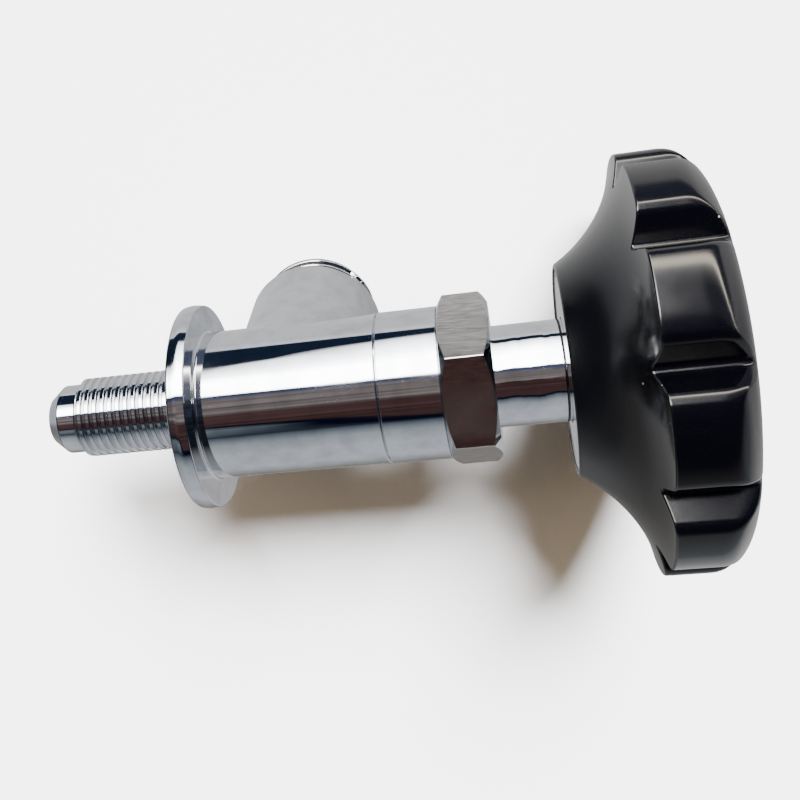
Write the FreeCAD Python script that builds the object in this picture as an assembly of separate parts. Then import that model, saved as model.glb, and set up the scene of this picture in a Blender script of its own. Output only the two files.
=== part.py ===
import FreeCAD
import Part
import math
import os

# Hand-operated steam valve, shut. Sizes are in millimetres.
# X runs along the valve from the inlet nipple to the knob, and X = 0 is the face of the
# mounting flange that rests on the panel. The outlet points down, along -Z.

# Inlet nipple, a G 1/4 pipe thread with a plain pilot and a sealing cone
INLET_THREAD_D = 13.157
INLET_THREAD_LEN = 19.6
THREAD_LEAD = 0.7
PILOT_D = 11.4
PILOT_LEN = 2.9
TIP_CONE_LEN = 2.2
TIP_D = 7.8
INLET_BORE_D = 6.0
BORE_BEVEL = 0.4

# Mounting flange and barrel
FLANGE_D = 33.5
FLANGE_T = 3.0
FLANGE_EDGE_ROUND = 0.8
FLANGE_ROOT_ROUND = 0.8
BARREL_D = 24.0
BARREL_LEN = 28.5
SEAM_BEVEL = 0.3

# Outlet boss with a G 1/2 pipe thread
OUTLET_OFFSET = 14.4
BOSS_D = 23.8
BOSS_REACH = 25.0
BOSS_BLEND = 1.2
SHOULDER_BEVEL = 0.5
OUTLET_THREAD_D = 20.955
OUTLET_SPIGOT_LEN = 7.0
OUTLET_LEAD = 0.9
RELIEF_D = 18.4
RELIEF_LEN = 1.3
OUTLET_BORE_D = 14.0
OUTLET_BORE_LEN = 8.0
PASSAGE_D = 7.6

# Valve chamber, seat and bonnet joint
CHAMBER_FLOOR = 6.5
CHAMBER_D = 16.4
SEAT_D = 11.0
SEAT_DEPTH = 5.0
SEAT_BORE_D = 5.6
SEAT_LIP = 1.0
LIP_D = 7.6
LIP_LAND = 0.5
BONNET_THREAD_D = 19.0
BONNET_THREAD_LEN = 9.2
THREAD_RUNOUT = 1.0
GASKET_D = 22.0
GASKET_T = 1.0

# Bonnet: collar, hexagon and neck
COLLAR_D = 24.2
COLLAR_LEN = 9.5
HEX_AF = 24.3
HEX_LEN = 8.0
HEX_END_D = 23.9
HEX_BEVEL_ANGLE = 30.0
HEX_TURN = -15.2
NECK_D = 16.0
NECK_SHOW = 10.7
NECK_COVER = 5.2
NECK_BEVEL = 0.4
WEB_OFFSET = 7.4
WEB_T = 5.4
RELIEF_BORE_D = 13.2
RELIEF_BORE_LEN = 5.1
PACKING_BORE_D = 12.2

# Spindle and its drive thread
LIFT = 3.0
STOP_GAP = 0.3
STEM_D = 8.0
STEM_FOOT_D = 9.4
STEM_FOOT_BEVEL = 0.3
DRIVE_THREAD_D = 12.0
DRIVE_THREAD_LEN = 11.8
DRIVE_LEAD = 0.8
SQUARE_AF = 6.0
SQUARE_LEN = 7.4
STEM_TAP_LEN = 11.0

# Plug, seal and clip
SEAL_D = 9.8
SEAL_T = 2.4
SEAL_PROUD = 0.6
SEAL_BEVEL = 0.2
PLUG_D = 11.4
PLUG_WEB = 2.4
PLUG_BEVEL = 0.5
SPIGOT_D = 5.2
SPIGOT_LEN = 7.0
SPIGOT_BEVEL = 0.4
CLIP_OFFSET = 5.0
CLIP_WIRE = 0.8
CLIP_OPENING = 40.0
CLIP_GROOVE_D = 4.2
SEAL_WASHER_D = 5.0
SEAL_WASHER_T = 0.6
SEAL_SCREW_D = 3.0
SEAL_SCREW_LEN = 8.5
SEAL_HEAD_D = 4.6
SEAL_HEAD_T = 1.3
SLOT_W = 0.8

# Packing in the neck
BASE_WASHER_T = 0.8
RING_T = 1.8
RING_COUNT = 3
RING_BEVEL = 0.2
FOLLOWER_FLANGE_T = 1.4
FOLLOWER_PILOT_D = 9.6
FOLLOWER_PILOT_LEN = 1.8
SPRING_WIRE = 1.0
SPRING_D = 12.0
SPRING_TURNS = 4.0
GLAND_LEN = 6.4
GLAND_SET = 0.4
GLAND_BEVEL = 0.3
GLAND_SLOT_W = 1.4
GLAND_SLOT_DEPTH = 1.4
ORING_WIRE = 1.3
ORING_OFFSET = 2.9
ORING_GROOVE_W = 1.7

# Knob and the metal core in its hub
HUB_D = 32.9
HUB_EDGE_ROUND = 0.4
KNOB_LEN = 23.4
FLARE_R = 21.4
FLARE_START = 29.7
LOBES = 10
LOBE_CROWN_R = 32.2
LOBE_VALLEY_R = 27.0
LOBE_TURN = 25.1
VALLEY_ROUND = 0.8
LOBE_FACE_W = 12.8
LOBE_FACE_CROWN = 1.1
LOBE_SHOULDER_ROUND = 2.5
FRONT_ROUND = 8.0
FRONT_OVERSIZE = 0.7
FRONT_EDGE_ROUND = 1.2
FACE_TILT = 15.0
FACE_FALL = 1.1
DISH_R = 21.5
DISH_DEPTH = 1.7
DISH_HOLLOW = 0.35
HUB_END_GAP = 0.5
HUB_LIP = 0.65
PLATE_SET = 0.2
PLATE_T = 1.4
PLATE_BEVEL = 0.2
PLATE_GROOVE = 0.3
PLATE_GROOVE_INSET = 1.0
PLATE_W = 3.9
CUP_FLOOR_T = 1.6
CORE_AF = 15.0
CORE_LEN = 8.4
POCKET_D = 20.0
CAP_D = 28.0
CAP_SEAT = 1.6
CAP_DOME = 1.0
CAP_SKIRT_T = 0.9
CAP_SKIRT_LEN = 3.2

# Knob screw and its washers
KNOB_SCREW_D = 4.0
KNOB_SCREW_LEN = 12.0
KNOB_HEAD_D = 7.0
KNOB_HEAD_T = 3.2
KNOB_SOCKET_AF = 3.0
KNOB_SOCKET_DEPTH = 2.0
PLAIN_WASHER_D = 10.0
PLAIN_WASHER_T = 0.8
SPRING_WASHER_D = 7.6
SPRING_WASHER_T = 1.0
SCREW_HOLE_D = 4.3

# Clearances, each on the radius or between two faces
SCREWED_GAP = 0.03
RUNNING_GAP = 0.05
FREE_GAP = 0.3
SEAL_GAP = 0.1
THRUST_GAP = 0.1

# Stations along the valve, from the flange towards the knob
TIP_X = -(INLET_THREAD_LEN + PILOT_LEN + TIP_CONE_LEN)
OUTLET_X = FLANGE_T + OUTLET_OFFSET
CHAMBER_X = FLANGE_T + CHAMBER_FLOOR
SEAT_X = CHAMBER_X + SEAT_LIP
SEAL_X = SEAT_X + SEAL_GAP
CUP_X = SEAL_X + SEAL_T
PLUG_TOP_X = CUP_X + PLUG_WEB
STEM_X = PLUG_TOP_X + THRUST_GAP
MOUTH_X = FLANGE_T + BARREL_LEN
SHANK_X = MOUTH_X - BONNET_THREAD_LEN
HEX_X = MOUTH_X + COLLAR_LEN
HEX_END_X = HEX_X + HEX_LEN
HUB_X = HEX_END_X + NECK_SHOW
NECK_END_X = HUB_X + NECK_COVER
WEB_X = MOUTH_X + WEB_OFFSET
PACKING_X = WEB_X + WEB_T
DRIVE_END_X = WEB_X - LIFT - STOP_GAP
DRIVE_X = DRIVE_END_X - DRIVE_THREAD_LEN
GLAND_X = NECK_END_X - GLAND_SET - GLAND_LEN
RINGS_X = PACKING_X + BASE_WASHER_T
FOLLOWER_X = RINGS_X + RING_COUNT * RING_T
SPRING_X = FOLLOWER_X + FOLLOWER_FLANGE_T
CORE_FLOOR_X = NECK_END_X + HUB_END_GAP
CORE_END_X = CORE_FLOOR_X + CORE_LEN
PLATE_X = HUB_X + PLATE_SET
KNOB_FRONT_X = HUB_X + KNOB_LEN
DISH_X = KNOB_FRONT_X - DISH_DEPTH
CAP_X = DISH_X - CAP_SEAT
WASHER_X = CORE_END_X + PLAIN_WASHER_T
HEAD_X = WASHER_X + SPRING_WASHER_T

# Outlet depth below the valve axis, and the ring and cup in the knob's back
OUTLET_END = BOSS_REACH + OUTLET_SPIGOT_LEN
PLATE_D = HUB_D - 2 * HUB_LIP
CUP_D = PLATE_D - 2 * PLATE_W

VEC = FreeCAD.Vector
ORIGIN = VEC(0, 0, 0)
X_AXIS = VEC(1, 0, 0)
Y_AXIS = VEC(0, 1, 0)
PAST = 1.0


def solid_of_turn(face):
    """Turns a flat section, drawn in the XZ plane, once round the valve axis."""
    return face.revolve(ORIGIN, X_AXIS, 360)


def turned(profile):
    """A turned solid from corner points (x, radius)."""
    corners = [VEC(x, 0, r) for x, r in profile]
    return solid_of_turn(Part.Face(Part.makePolygon(corners + corners[:1])))


def rod(x_from, x_to, diameter):
    """A plain cylinder on the valve axis."""
    return Part.makeCylinder(diameter / 2, x_to - x_from, VEC(x_from, 0, 0), X_AXIS)


def ring(x_from, x_to, d_in, d_out, bevel=0.0):
    """A plain ring on the valve axis, with its outer corners bevelled."""
    r_in = d_in / 2
    r_out = d_out / 2
    profile = [(x_from, r_in), (x_from, r_out - bevel), (x_from + bevel, r_out)]
    profile += [(x_to - bevel, r_out), (x_to, r_out - bevel), (x_to, r_in)]
    if bevel == 0.0:
        profile = [(x_from, r_in), (x_from, r_out), (x_to, r_out), (x_to, r_in)]
    return turned(profile)


def to_outlet(shape):
    """Turns a solid made on the valve axis down onto the outlet axis."""
    placed = shape.copy()
    placed.rotate(ORIGIN, Y_AXIS, 90)
    placed.translate(VEC(OUTLET_X, 0, 0))
    return placed


def prism(x_from, x_to, sides, across_flats, turn=0.0):
    """A straight bar with regular sides along the valve axis."""
    radius = across_flats / 2 / math.cos(math.pi / sides)
    corners = []
    for i in range(sides + 1):
        angle = math.radians(turn) + 2 * math.pi * i / sides
        corners.append(VEC(x_from, radius * math.cos(angle), radius * math.sin(angle)))
    return Part.Face(Part.makePolygon(corners)).extrude(VEC(x_to - x_from, 0, 0))


def circle_edges(shape, x, radius):
    """The full circles of a shape at one station and radius on the valve axis."""
    found = []
    for edge in shape.Edges:
        points = edge.discretize(5)
        if all(abs(p.x - x) < 1e-4 and abs(math.hypot(p.y, p.z) - radius) < 1e-4 for p in points):
            found.append(edge)
    return found


def body_blank():
    """The outside of the body: nipple, flange and barrel, turned in one piece."""
    thread_r = INLET_THREAD_D / 2
    barrel_r = BARREL_D / 2
    profile = [(TIP_X, 0), (TIP_X, TIP_D / 2), (TIP_X + TIP_CONE_LEN, PILOT_D / 2)]
    profile += [(-INLET_THREAD_LEN, PILOT_D / 2), (-INLET_THREAD_LEN + THREAD_LEAD, thread_r)]
    profile += [(0, thread_r), (0, FLANGE_D / 2), (FLANGE_T, FLANGE_D / 2), (FLANGE_T, barrel_r)]
    profile += [(MOUTH_X - SEAM_BEVEL, barrel_r), (MOUTH_X, barrel_r - SEAM_BEVEL), (MOUTH_X, 0)]
    blank = turned(profile)
    rims = circle_edges(blank, 0, FLANGE_D / 2) + circle_edges(blank, FLANGE_T, FLANGE_D / 2)
    blank = blank.makeFillet(FLANGE_EDGE_ROUND, rims)
    return blank.makeFillet(FLANGE_ROOT_ROUND, circle_edges(blank, FLANGE_T, barrel_r))


def outlet_boss():
    """The outside of the outlet: boss, shoulder and threaded spigot."""
    thread_r = OUTLET_THREAD_D / 2
    relief_end = BOSS_REACH + RELIEF_LEN
    thread_start = relief_end + thread_r - RELIEF_D / 2
    profile = [(0, 0), (0, BOSS_D / 2), (BOSS_REACH - SHOULDER_BEVEL, BOSS_D / 2)]
    profile += [(BOSS_REACH, BOSS_D / 2 - SHOULDER_BEVEL), (BOSS_REACH, RELIEF_D / 2)]
    profile += [(relief_end, RELIEF_D / 2), (thread_start, thread_r)]
    profile += [(OUTLET_END - OUTLET_LEAD, thread_r), (OUTLET_END, thread_r - OUTLET_LEAD)]
    profile += [(OUTLET_END, 0)]
    return to_outlet(turned(profile))


def junction_edges(shape):
    """The edge where the outlet boss grows out of the barrel."""
    found = []
    for edge in shape.Edges:
        on_both = True
        for p in edge.discretize(9):
            on_barrel = abs(math.hypot(p.y, p.z) - BARREL_D / 2) < 0.02
            on_boss = abs(math.hypot(p.x - OUTLET_X, p.y) - BOSS_D / 2) < 0.02
            on_both = on_both and on_barrel and on_boss
        if on_both:
            found.append(edge)
    return found


def valve_body():
    """Nipple, flange, barrel and outlet in one forging, with its chamber and passages."""
    body = body_blank().fuse(outlet_boss()).removeSplitter()
    body = body.makeFillet(BOSS_BLEND, junction_edges(body))
    bore_r = INLET_BORE_D / 2
    mouth_bevel = [(TIP_X - PAST, 0), (TIP_X - PAST, bore_r + BORE_BEVEL + PAST)]
    mouth_bevel += [(TIP_X + BORE_BEVEL, bore_r), (TIP_X + BORE_BEVEL, 0)]
    cutters = [
        turned(mouth_bevel),
        rod(TIP_X - PAST, CHAMBER_X, INLET_BORE_D),
        rod(CHAMBER_X - SEAT_DEPTH, CHAMBER_X + PAST, SEAT_D),
        rod(CHAMBER_X, MOUTH_X, CHAMBER_D),
        rod(SHANK_X - THREAD_RUNOUT, MOUTH_X + PAST, BONNET_THREAD_D),
        rod(MOUTH_X - GASKET_T, MOUTH_X + PAST, GASKET_D),
        to_outlet(rod(0, OUTLET_END, PASSAGE_D)),
        to_outlet(rod(OUTLET_END - OUTLET_BORE_LEN, OUTLET_END + PAST, OUTLET_BORE_D)),
    ]
    for cutter in cutters:
        body = body.cut(cutter)
    return body


def seat_insert():
    """The seat ring pressed into the chamber floor, with a raised lip for the seal."""
    bore_r = SEAT_BORE_D / 2
    back_x = CHAMBER_X - SEAT_DEPTH
    outer_r = SEAT_D / 2 - SCREWED_GAP
    profile = [(back_x, bore_r), (back_x, outer_r), (CHAMBER_X, outer_r)]
    profile += [(CHAMBER_X, LIP_D / 2 + SEAT_LIP / 2), (SEAT_X, LIP_D / 2)]
    profile += [(SEAT_X, LIP_D / 2 - LIP_LAND), (SEAT_X - LIP_LAND / 2, bore_r)]
    return turned(profile)


def bonnet_gasket():
    """The flat ring between the body's mouth and the bonnet's shoulder."""
    return ring(MOUTH_X - GASKET_T, MOUTH_X, BONNET_THREAD_D + FREE_GAP, GASKET_D - 2 * SCREWED_GAP)


def hexagon():
    """The spanner hexagon with both ends turned to a bevel."""
    bar = prism(HEX_X, HEX_END_X, 6, HEX_AF, HEX_TURN)
    corner_r = HEX_AF / 2 / math.cos(math.pi / 6) + PAST
    end_r = HEX_END_D / 2
    bevel = (corner_r - end_r) * math.tan(math.radians(HEX_BEVEL_ANGLE))
    profile = [(HEX_X, 0), (HEX_X, end_r), (HEX_X + bevel, corner_r)]
    profile += [(HEX_END_X - bevel, corner_r), (HEX_END_X, end_r), (HEX_END_X, 0)]
    return bar.common(turned(profile))


def bonnet():
    """Screwed shank, collar, hexagon and neck, turned from one hexagon bar."""
    shank_r = BONNET_THREAD_D / 2 - SCREWED_GAP
    collar_r = COLLAR_D / 2
    neck_r = NECK_D / 2
    profile = [(SHANK_X, 0), (SHANK_X, shank_r - THREAD_LEAD), (SHANK_X + THREAD_LEAD, shank_r)]
    profile += [(MOUTH_X, shank_r), (MOUTH_X, collar_r - SEAM_BEVEL)]
    profile += [(MOUTH_X + SEAM_BEVEL, collar_r), (HEX_X, collar_r), (HEX_X, neck_r)]
    profile += [(NECK_END_X - NECK_BEVEL, neck_r), (NECK_END_X, neck_r - NECK_BEVEL)]
    profile += [(NECK_END_X, 0)]
    shape = turned(profile).fuse(hexagon()).removeSplitter()
    cutters = [
        rod(SHANK_X - PAST, WEB_X - RELIEF_BORE_LEN + PAST, DRIVE_THREAD_D + 2 * RUNNING_GAP),
        rod(WEB_X - RELIEF_BORE_LEN, WEB_X, RELIEF_BORE_D),
        rod(WEB_X - PAST, NECK_END_X, STEM_D + 2 * RUNNING_GAP),
        rod(PACKING_X, NECK_END_X + PAST, PACKING_BORE_D),
    ]
    for cutter in cutters:
        shape = shape.cut(cutter)
    return shape


def packing_base_washer():
    """The washer that the packing rings stand on."""
    return ring(PACKING_X, RINGS_X, STEM_D + 2 * FREE_GAP, PACKING_BORE_D - 2 * SCREWED_GAP)


def packing_rings():
    """Square-section packing rings, stacked round the spindle."""
    d_in = STEM_D + 2 * RUNNING_GAP
    d_out = PACKING_BORE_D - 2 * SCREWED_GAP
    rings = []
    for i in range(RING_COUNT):
        start = RINGS_X + i * RING_T
        rings.append(ring(start, start + RING_T, d_in, d_out, RING_BEVEL))
    return Part.makeCompound(rings)


def packing_follower():
    """The bush that passes the spring's force to the packing."""
    bore_r = STEM_D / 2 + FREE_GAP
    outer_r = PACKING_BORE_D / 2 - SCREWED_GAP
    pilot_r = FOLLOWER_PILOT_D / 2
    pilot_end = SPRING_X + FOLLOWER_PILOT_LEN
    profile = [(FOLLOWER_X, bore_r), (FOLLOWER_X, outer_r), (SPRING_X, outer_r)]
    profile += [(SPRING_X, pilot_r), (pilot_end, pilot_r), (pilot_end, bore_r)]
    return turned(profile)


def packing_spring():
    """A coil spring with both ends ground flat, pressed between follower and gland nut."""
    length = GLAND_X - SPRING_X
    mean_r = (SPRING_D - SPRING_WIRE) / 2
    pitch = length / SPRING_TURNS
    helix = Part.makeHelix(pitch, length, mean_r)
    wire = Part.Wire(helix.Edges)
    section = Part.Wire(Part.makeCircle(SPRING_WIRE / 2, VEC(mean_r, 0, 0), Y_AXIS))
    coil = wire.makePipeShell([section], True, True)
    coil.rotate(ORIGIN, Y_AXIS, 90)
    coil.translate(VEC(SPRING_X, 0, 0))
    return coil.common(rod(SPRING_X, GLAND_X, SPRING_D + PAST))


def gland_nut():
    """The slotted nut in the neck's mouth that holds the packing and the spindle ring."""
    end_x = GLAND_X + GLAND_LEN
    groove_x = GLAND_X + ORING_OFFSET - ORING_GROOVE_W / 2
    bore_d = STEM_D + 2 * RUNNING_GAP
    outer_d = PACKING_BORE_D - 2 * SCREWED_GAP
    nut = ring(GLAND_X, end_x, bore_d, outer_d, GLAND_BEVEL)
    nut = nut.cut(rod(groove_x, groove_x + ORING_GROOVE_W, bore_d + 2 * ORING_WIRE))
    corner = VEC(end_x - GLAND_SLOT_DEPTH, -outer_d, -GLAND_SLOT_W / 2)
    slot = Part.makeBox(GLAND_SLOT_DEPTH + PAST, 2 * outer_d, GLAND_SLOT_W, corner)
    return nut.cut(slot)


def stem_o_ring():
    """The round ring that wipes the spindle inside the gland nut."""
    mean_r = STEM_D / 2 + RUNNING_GAP + ORING_WIRE / 2
    return Part.makeTorus(mean_r, ORING_WIRE / 2, VEC(GLAND_X + ORING_OFFSET, 0, 0), X_AXIS)


def valve_plug():
    """The cup that carries the seal, with a spigot that turns freely in the spindle's foot."""
    rim_x = SEAL_X + SEAL_PROUD
    cup_r = SEAL_D / 2 + RUNNING_GAP
    tap_r = SEAL_SCREW_D / 2 + SCREWED_GAP
    spigot_r = SPIGOT_D / 2
    spigot_end = PLUG_TOP_X + SPIGOT_LEN
    tap_end = CUP_X + SEAL_SCREW_LEN - SEAL_T + PAST
    profile = [(CUP_X, tap_r), (CUP_X, cup_r), (rim_x, cup_r), (rim_x, PLUG_D / 2)]
    profile += [(PLUG_TOP_X - PLUG_BEVEL, PLUG_D / 2)]
    profile += [(PLUG_TOP_X, PLUG_D / 2 - PLUG_BEVEL), (PLUG_TOP_X, spigot_r)]
    profile += [(spigot_end - SPIGOT_BEVEL, spigot_r), (spigot_end, spigot_r - SPIGOT_BEVEL)]
    profile += [(spigot_end, 0), (tap_end, 0), (tap_end, tap_r)]
    plug = turned(profile)
    clip_x = PLUG_TOP_X + CLIP_OFFSET
    groove = ring(clip_x, clip_x + CLIP_WIRE, CLIP_GROOVE_D, SPIGOT_D + PAST)
    return plug.cut(groove)


def seal_disc():
    """The soft disc that closes on the seat."""
    return ring(SEAL_X, CUP_X, SEAL_SCREW_D + 2 * RUNNING_GAP, SEAL_D, SEAL_BEVEL)


def seal_washer():
    """The small washer that clamps the seal inside the seat's bore."""
    return ring(SEAL_X - SEAL_WASHER_T, SEAL_X, SEAL_SCREW_D + 2 * RUNNING_GAP, SEAL_WASHER_D)


def seal_screw():
    """The slotted screw that holds washer and seal to the plug."""
    under_head = SEAL_X - SEAL_WASHER_T
    head_x = under_head - SEAL_HEAD_T
    screw = rod(head_x, under_head, SEAL_HEAD_D)
    screw = screw.fuse(rod(under_head, under_head + SEAL_SCREW_LEN, SEAL_SCREW_D))
    corner = VEC(head_x - PAST, -SEAL_HEAD_D, -SLOT_W / 2)
    slot = Part.makeBox(SEAL_HEAD_T / 2 + PAST, 2 * SEAL_HEAD_D, SLOT_W, corner)
    return screw.removeSplitter().cut(slot)


def plug_clip():
    """The open clip that keeps the plug's spigot in the spindle's foot."""
    clip_x = PLUG_TOP_X + CLIP_OFFSET
    d_out = SPIGOT_D + 2 * RUNNING_GAP + CLIP_WIRE
    clip = ring(clip_x, clip_x + CLIP_WIRE, CLIP_GROOVE_D + 2 * RUNNING_GAP, d_out)
    half = math.radians(CLIP_OPENING / 2)
    reach = 2 * d_out
    corners = [VEC(clip_x - PAST, 0, 0)]
    corners.append(VEC(clip_x - PAST, reach * math.cos(half), reach * math.sin(half)))
    corners.append(VEC(clip_x - PAST, reach * math.cos(half), -reach * math.sin(half)))
    wedge = Part.Face(Part.makePolygon(corners + corners[:1]))
    return clip.cut(wedge.extrude(VEC(CLIP_WIRE + 2 * PAST, 0, 0)))


def stem():
    """The spindle: foot, drive thread, packing length and square end."""
    foot_r = STEM_FOOT_D / 2
    drive_r = DRIVE_THREAD_D / 2
    stem_r = STEM_D / 2
    profile = [(STEM_X, 0), (STEM_X, foot_r - STEM_FOOT_BEVEL)]
    profile += [(STEM_X + STEM_FOOT_BEVEL, foot_r), (DRIVE_X, foot_r)]
    profile += [(DRIVE_X + DRIVE_LEAD, drive_r), (DRIVE_END_X - DRIVE_LEAD, drive_r)]
    profile += [(DRIVE_END_X, drive_r - DRIVE_LEAD), (DRIVE_END_X, stem_r)]
    profile += [(CORE_FLOOR_X, stem_r), (CORE_FLOOR_X, 0)]
    square = prism(CORE_FLOOR_X, CORE_FLOOR_X + SQUARE_LEN, 4, SQUARE_AF, 45)
    square = square.common(rod(CORE_FLOOR_X, CORE_FLOOR_X + SQUARE_LEN, STEM_D))
    shape = turned(profile).fuse(square)
    spigot_hole_d = SPIGOT_D + 2 * RUNNING_GAP
    clip_x = PLUG_TOP_X + CLIP_OFFSET - FREE_GAP
    clip_groove_d = spigot_hole_d + CLIP_WIRE + 2 * FREE_GAP
    square_end = CORE_FLOOR_X + SQUARE_LEN
    cutters = [
        rod(STEM_X - PAST, PLUG_TOP_X + SPIGOT_LEN + PAST, spigot_hole_d),
        rod(clip_x, clip_x + CLIP_WIRE + 2 * FREE_GAP, clip_groove_d),
        rod(square_end - STEM_TAP_LEN, square_end + PAST, KNOB_SCREW_D + 2 * SCREWED_GAP),
    ]
    for cutter in cutters:
        shape = shape.cut(cutter)
    return shape


def core_outline(gap):
    """The outside of the knob's metal core, made larger by a gap for the knob's cavity."""
    cup_end = CORE_FLOOR_X + CUP_FLOOR_T
    cup = rod(PLATE_X, cup_end + gap, CUP_D + 2 * gap)
    core = prism(CORE_FLOOR_X, CORE_END_X, 6, CORE_AF + 2 * gap, 0)
    return cup.fuse(core).removeSplitter()


def hub_insert():
    """The knob's metal core: a cup round the neck, and a hexagon with the square hole."""
    shape = core_outline(0)
    shape = shape.cut(rod(PLATE_X - PAST, CORE_FLOOR_X, NECK_D + 2 * FREE_GAP))
    hole = prism(CORE_FLOOR_X - PAST, CORE_END_X + PAST, 4, SQUARE_AF + 2 * RUNNING_GAP, 45)
    return shape.cut(hole)


def hub_back_plate():
    """The polished ring in the knob's back face, with one turned line near its edge."""
    plate = ring(PLATE_X, PLATE_X + PLATE_T, CUP_D + 2 * SCREWED_GAP, PLATE_D, PLATE_BEVEL)
    groove_r = PLATE_D / 2 - PLATE_GROOVE_INSET
    profile = [(PLATE_X - PAST, groove_r - PLATE_GROOVE - PAST)]
    profile += [(PLATE_X + PLATE_GROOVE, groove_r), (PLATE_X - PAST, groove_r + PLATE_GROOVE + PAST)]
    return plate.cut(turned(profile))


def lines_along(bar, nearest, farthest):
    """The straight edges along the knob's bar that lie between two distances from the axis."""
    found = []
    for edge in bar.Edges:
        distance = math.hypot(edge.Vertexes[0].Y, edge.Vertexes[0].Z)
        if abs(edge.BoundBox.XLength - KNOB_LEN) < 1e-4 and nearest < distance < farthest:
            found.append(edge)
    return found


def lobed_bar():
    """A straight bar with the knob's lobes: crowned faces, round shoulders and V-shaped valleys."""
    half = math.pi / LOBES
    shoulder = LOBE_CROWN_R - LOBE_FACE_CROWN
    valley = (LOBE_VALLEY_R * math.cos(half), LOBE_VALLEY_R * math.sin(half))
    outline = []
    for i in range(LOBES):
        crown = math.radians(LOBE_TURN) + (2 * i + 1) * half

        def on_lobe(height, aside):
            y = height * math.cos(crown) - aside * math.sin(crown)
            z = height * math.sin(crown) + aside * math.cos(crown)
            return VEC(HUB_X, y, z)

        left = on_lobe(shoulder, -LOBE_FACE_W / 2)
        right = on_lobe(shoulder, LOBE_FACE_W / 2)
        outline.append(Part.makeLine(on_lobe(valley[0], -valley[1]), left))
        outline.append(Part.Arc(left, on_lobe(LOBE_CROWN_R, 0), right).toShape())
        outline.append(Part.makeLine(right, on_lobe(valley[0], valley[1])))
    bar = Part.Face(Part.Wire(outline)).extrude(VEC(KNOB_LEN, 0, 0))
    middle_r = (LOBE_CROWN_R + LOBE_VALLEY_R) / 2
    bar = bar.makeFillet(LOBE_SHOULDER_ROUND, lines_along(bar, middle_r, LOBE_CROWN_R))
    return bar.makeFillet(VALLEY_ROUND, lines_along(bar, 0, middle_r))


def knob_envelope():
    """The turned form of the knob: a trumpet-shaped back, a rounded rim and a domed face."""
    hub_r = HUB_D / 2
    reach = LOBE_CROWN_R + FRONT_OVERSIZE
    start = math.radians(FLARE_START)
    flare_x = HUB_X - FLARE_R * math.sin(start)
    flare_r = hub_r + FLARE_R * math.cos(start)
    end = math.acos((flare_r - reach) / FLARE_R)

    def on_flare(angle):
        return VEC(flare_x + FLARE_R * math.sin(angle), 0, flare_r - FLARE_R * math.cos(angle))

    tilt = math.radians(FACE_TILT)
    round_x = KNOB_FRONT_X - FACE_FALL - FRONT_ROUND * math.cos(tilt)
    round_r = reach - FRONT_ROUND

    def on_round(angle):
        return VEC(round_x + FRONT_ROUND * math.cos(angle), 0, round_r + FRONT_ROUND * math.sin(angle))

    rim = VEC(KNOB_FRONT_X, 0, DISH_R)
    face_edge = on_round(tilt)
    chord = face_edge - rim
    swell = (tilt - math.atan2(FACE_FALL, face_edge.z - DISH_R)) / 2
    outward = VEC(chord.z, 0, -chord.x) * (math.tan(swell) / 2)
    flare = Part.Arc(on_flare(start), on_flare((start + end) / 2), on_flare(end))
    shoulder = Part.Arc(on_round(math.pi / 2), on_round((math.pi / 2 + tilt) / 2), face_edge)
    face = Part.Arc(face_edge, (face_edge + rim) * 0.5 + outward, rim)
    edges = [flare.toShape(), Part.makeLine(on_flare(end), on_round(math.pi / 2))]
    edges += [shoulder.toShape(), face.toShape()]
    corners = [rim, VEC(KNOB_FRONT_X, 0, 0), VEC(HUB_X, 0, 0), on_flare(start)]
    edges += Part.makePolygon(corners).Edges
    shape = solid_of_turn(Part.Face(Part.Wire(edges)))
    return shape.makeFillet(HUB_EDGE_ROUND, circle_edges(shape, HUB_X, hub_r))


def front_edges(shape):
    """The edges where the lobes' walls run out into the rounded rim, on the front half."""
    found = []
    for edge in shape.Edges:
        points = edge.discretize(5)
        in_front = all(p.x > KNOB_FRONT_X - FACE_FALL - FRONT_ROUND for p in points)
        beyond_face = all(math.hypot(p.y, p.z) > LOBE_VALLEY_R for p in points)
        if in_front and beyond_face and edge.BoundBox.YLength + edge.BoundBox.ZLength > 1e-3:
            found.append(edge)
    return found


def front_dish():
    """The shallow dish in the knob's front face, down to the cap."""
    cap_r = CAP_D / 2
    rim = VEC(KNOB_FRONT_X, 0, DISH_R)
    middle = VEC(DISH_X + DISH_DEPTH * DISH_HOLLOW, 0, (DISH_R + cap_r) / 2)
    seat = VEC(DISH_X, 0, cap_r)
    slope = Part.Arc(rim, middle, seat).toShape()
    corners = [seat, VEC(DISH_X, 0, 0), VEC(KNOB_FRONT_X + PAST, 0, 0)]
    corners += [VEC(KNOB_FRONT_X + PAST, 0, DISH_R), rim]
    return solid_of_turn(Part.Face(Part.Wire([slope] + Part.makePolygon(corners).Edges)))


def knob():
    """The moulded knob: lobed rim, flared back, and cavities for its metal core and cap."""
    shape = lobed_bar().common(knob_envelope())
    shape = shape.makeFillet(FRONT_EDGE_ROUND, front_edges(shape))
    cutters = [
        front_dish(),
        core_outline(SCREWED_GAP),
        rod(HUB_X - PAST, PLATE_X + PLATE_T, PLATE_D + 2 * SCREWED_GAP),
        rod(CORE_END_X, KNOB_FRONT_X, POCKET_D),
        rod(CAP_X, KNOB_FRONT_X, CAP_D),
    ]
    for cutter in cutters:
        shape = shape.cut(cutter)
    return shape


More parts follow.
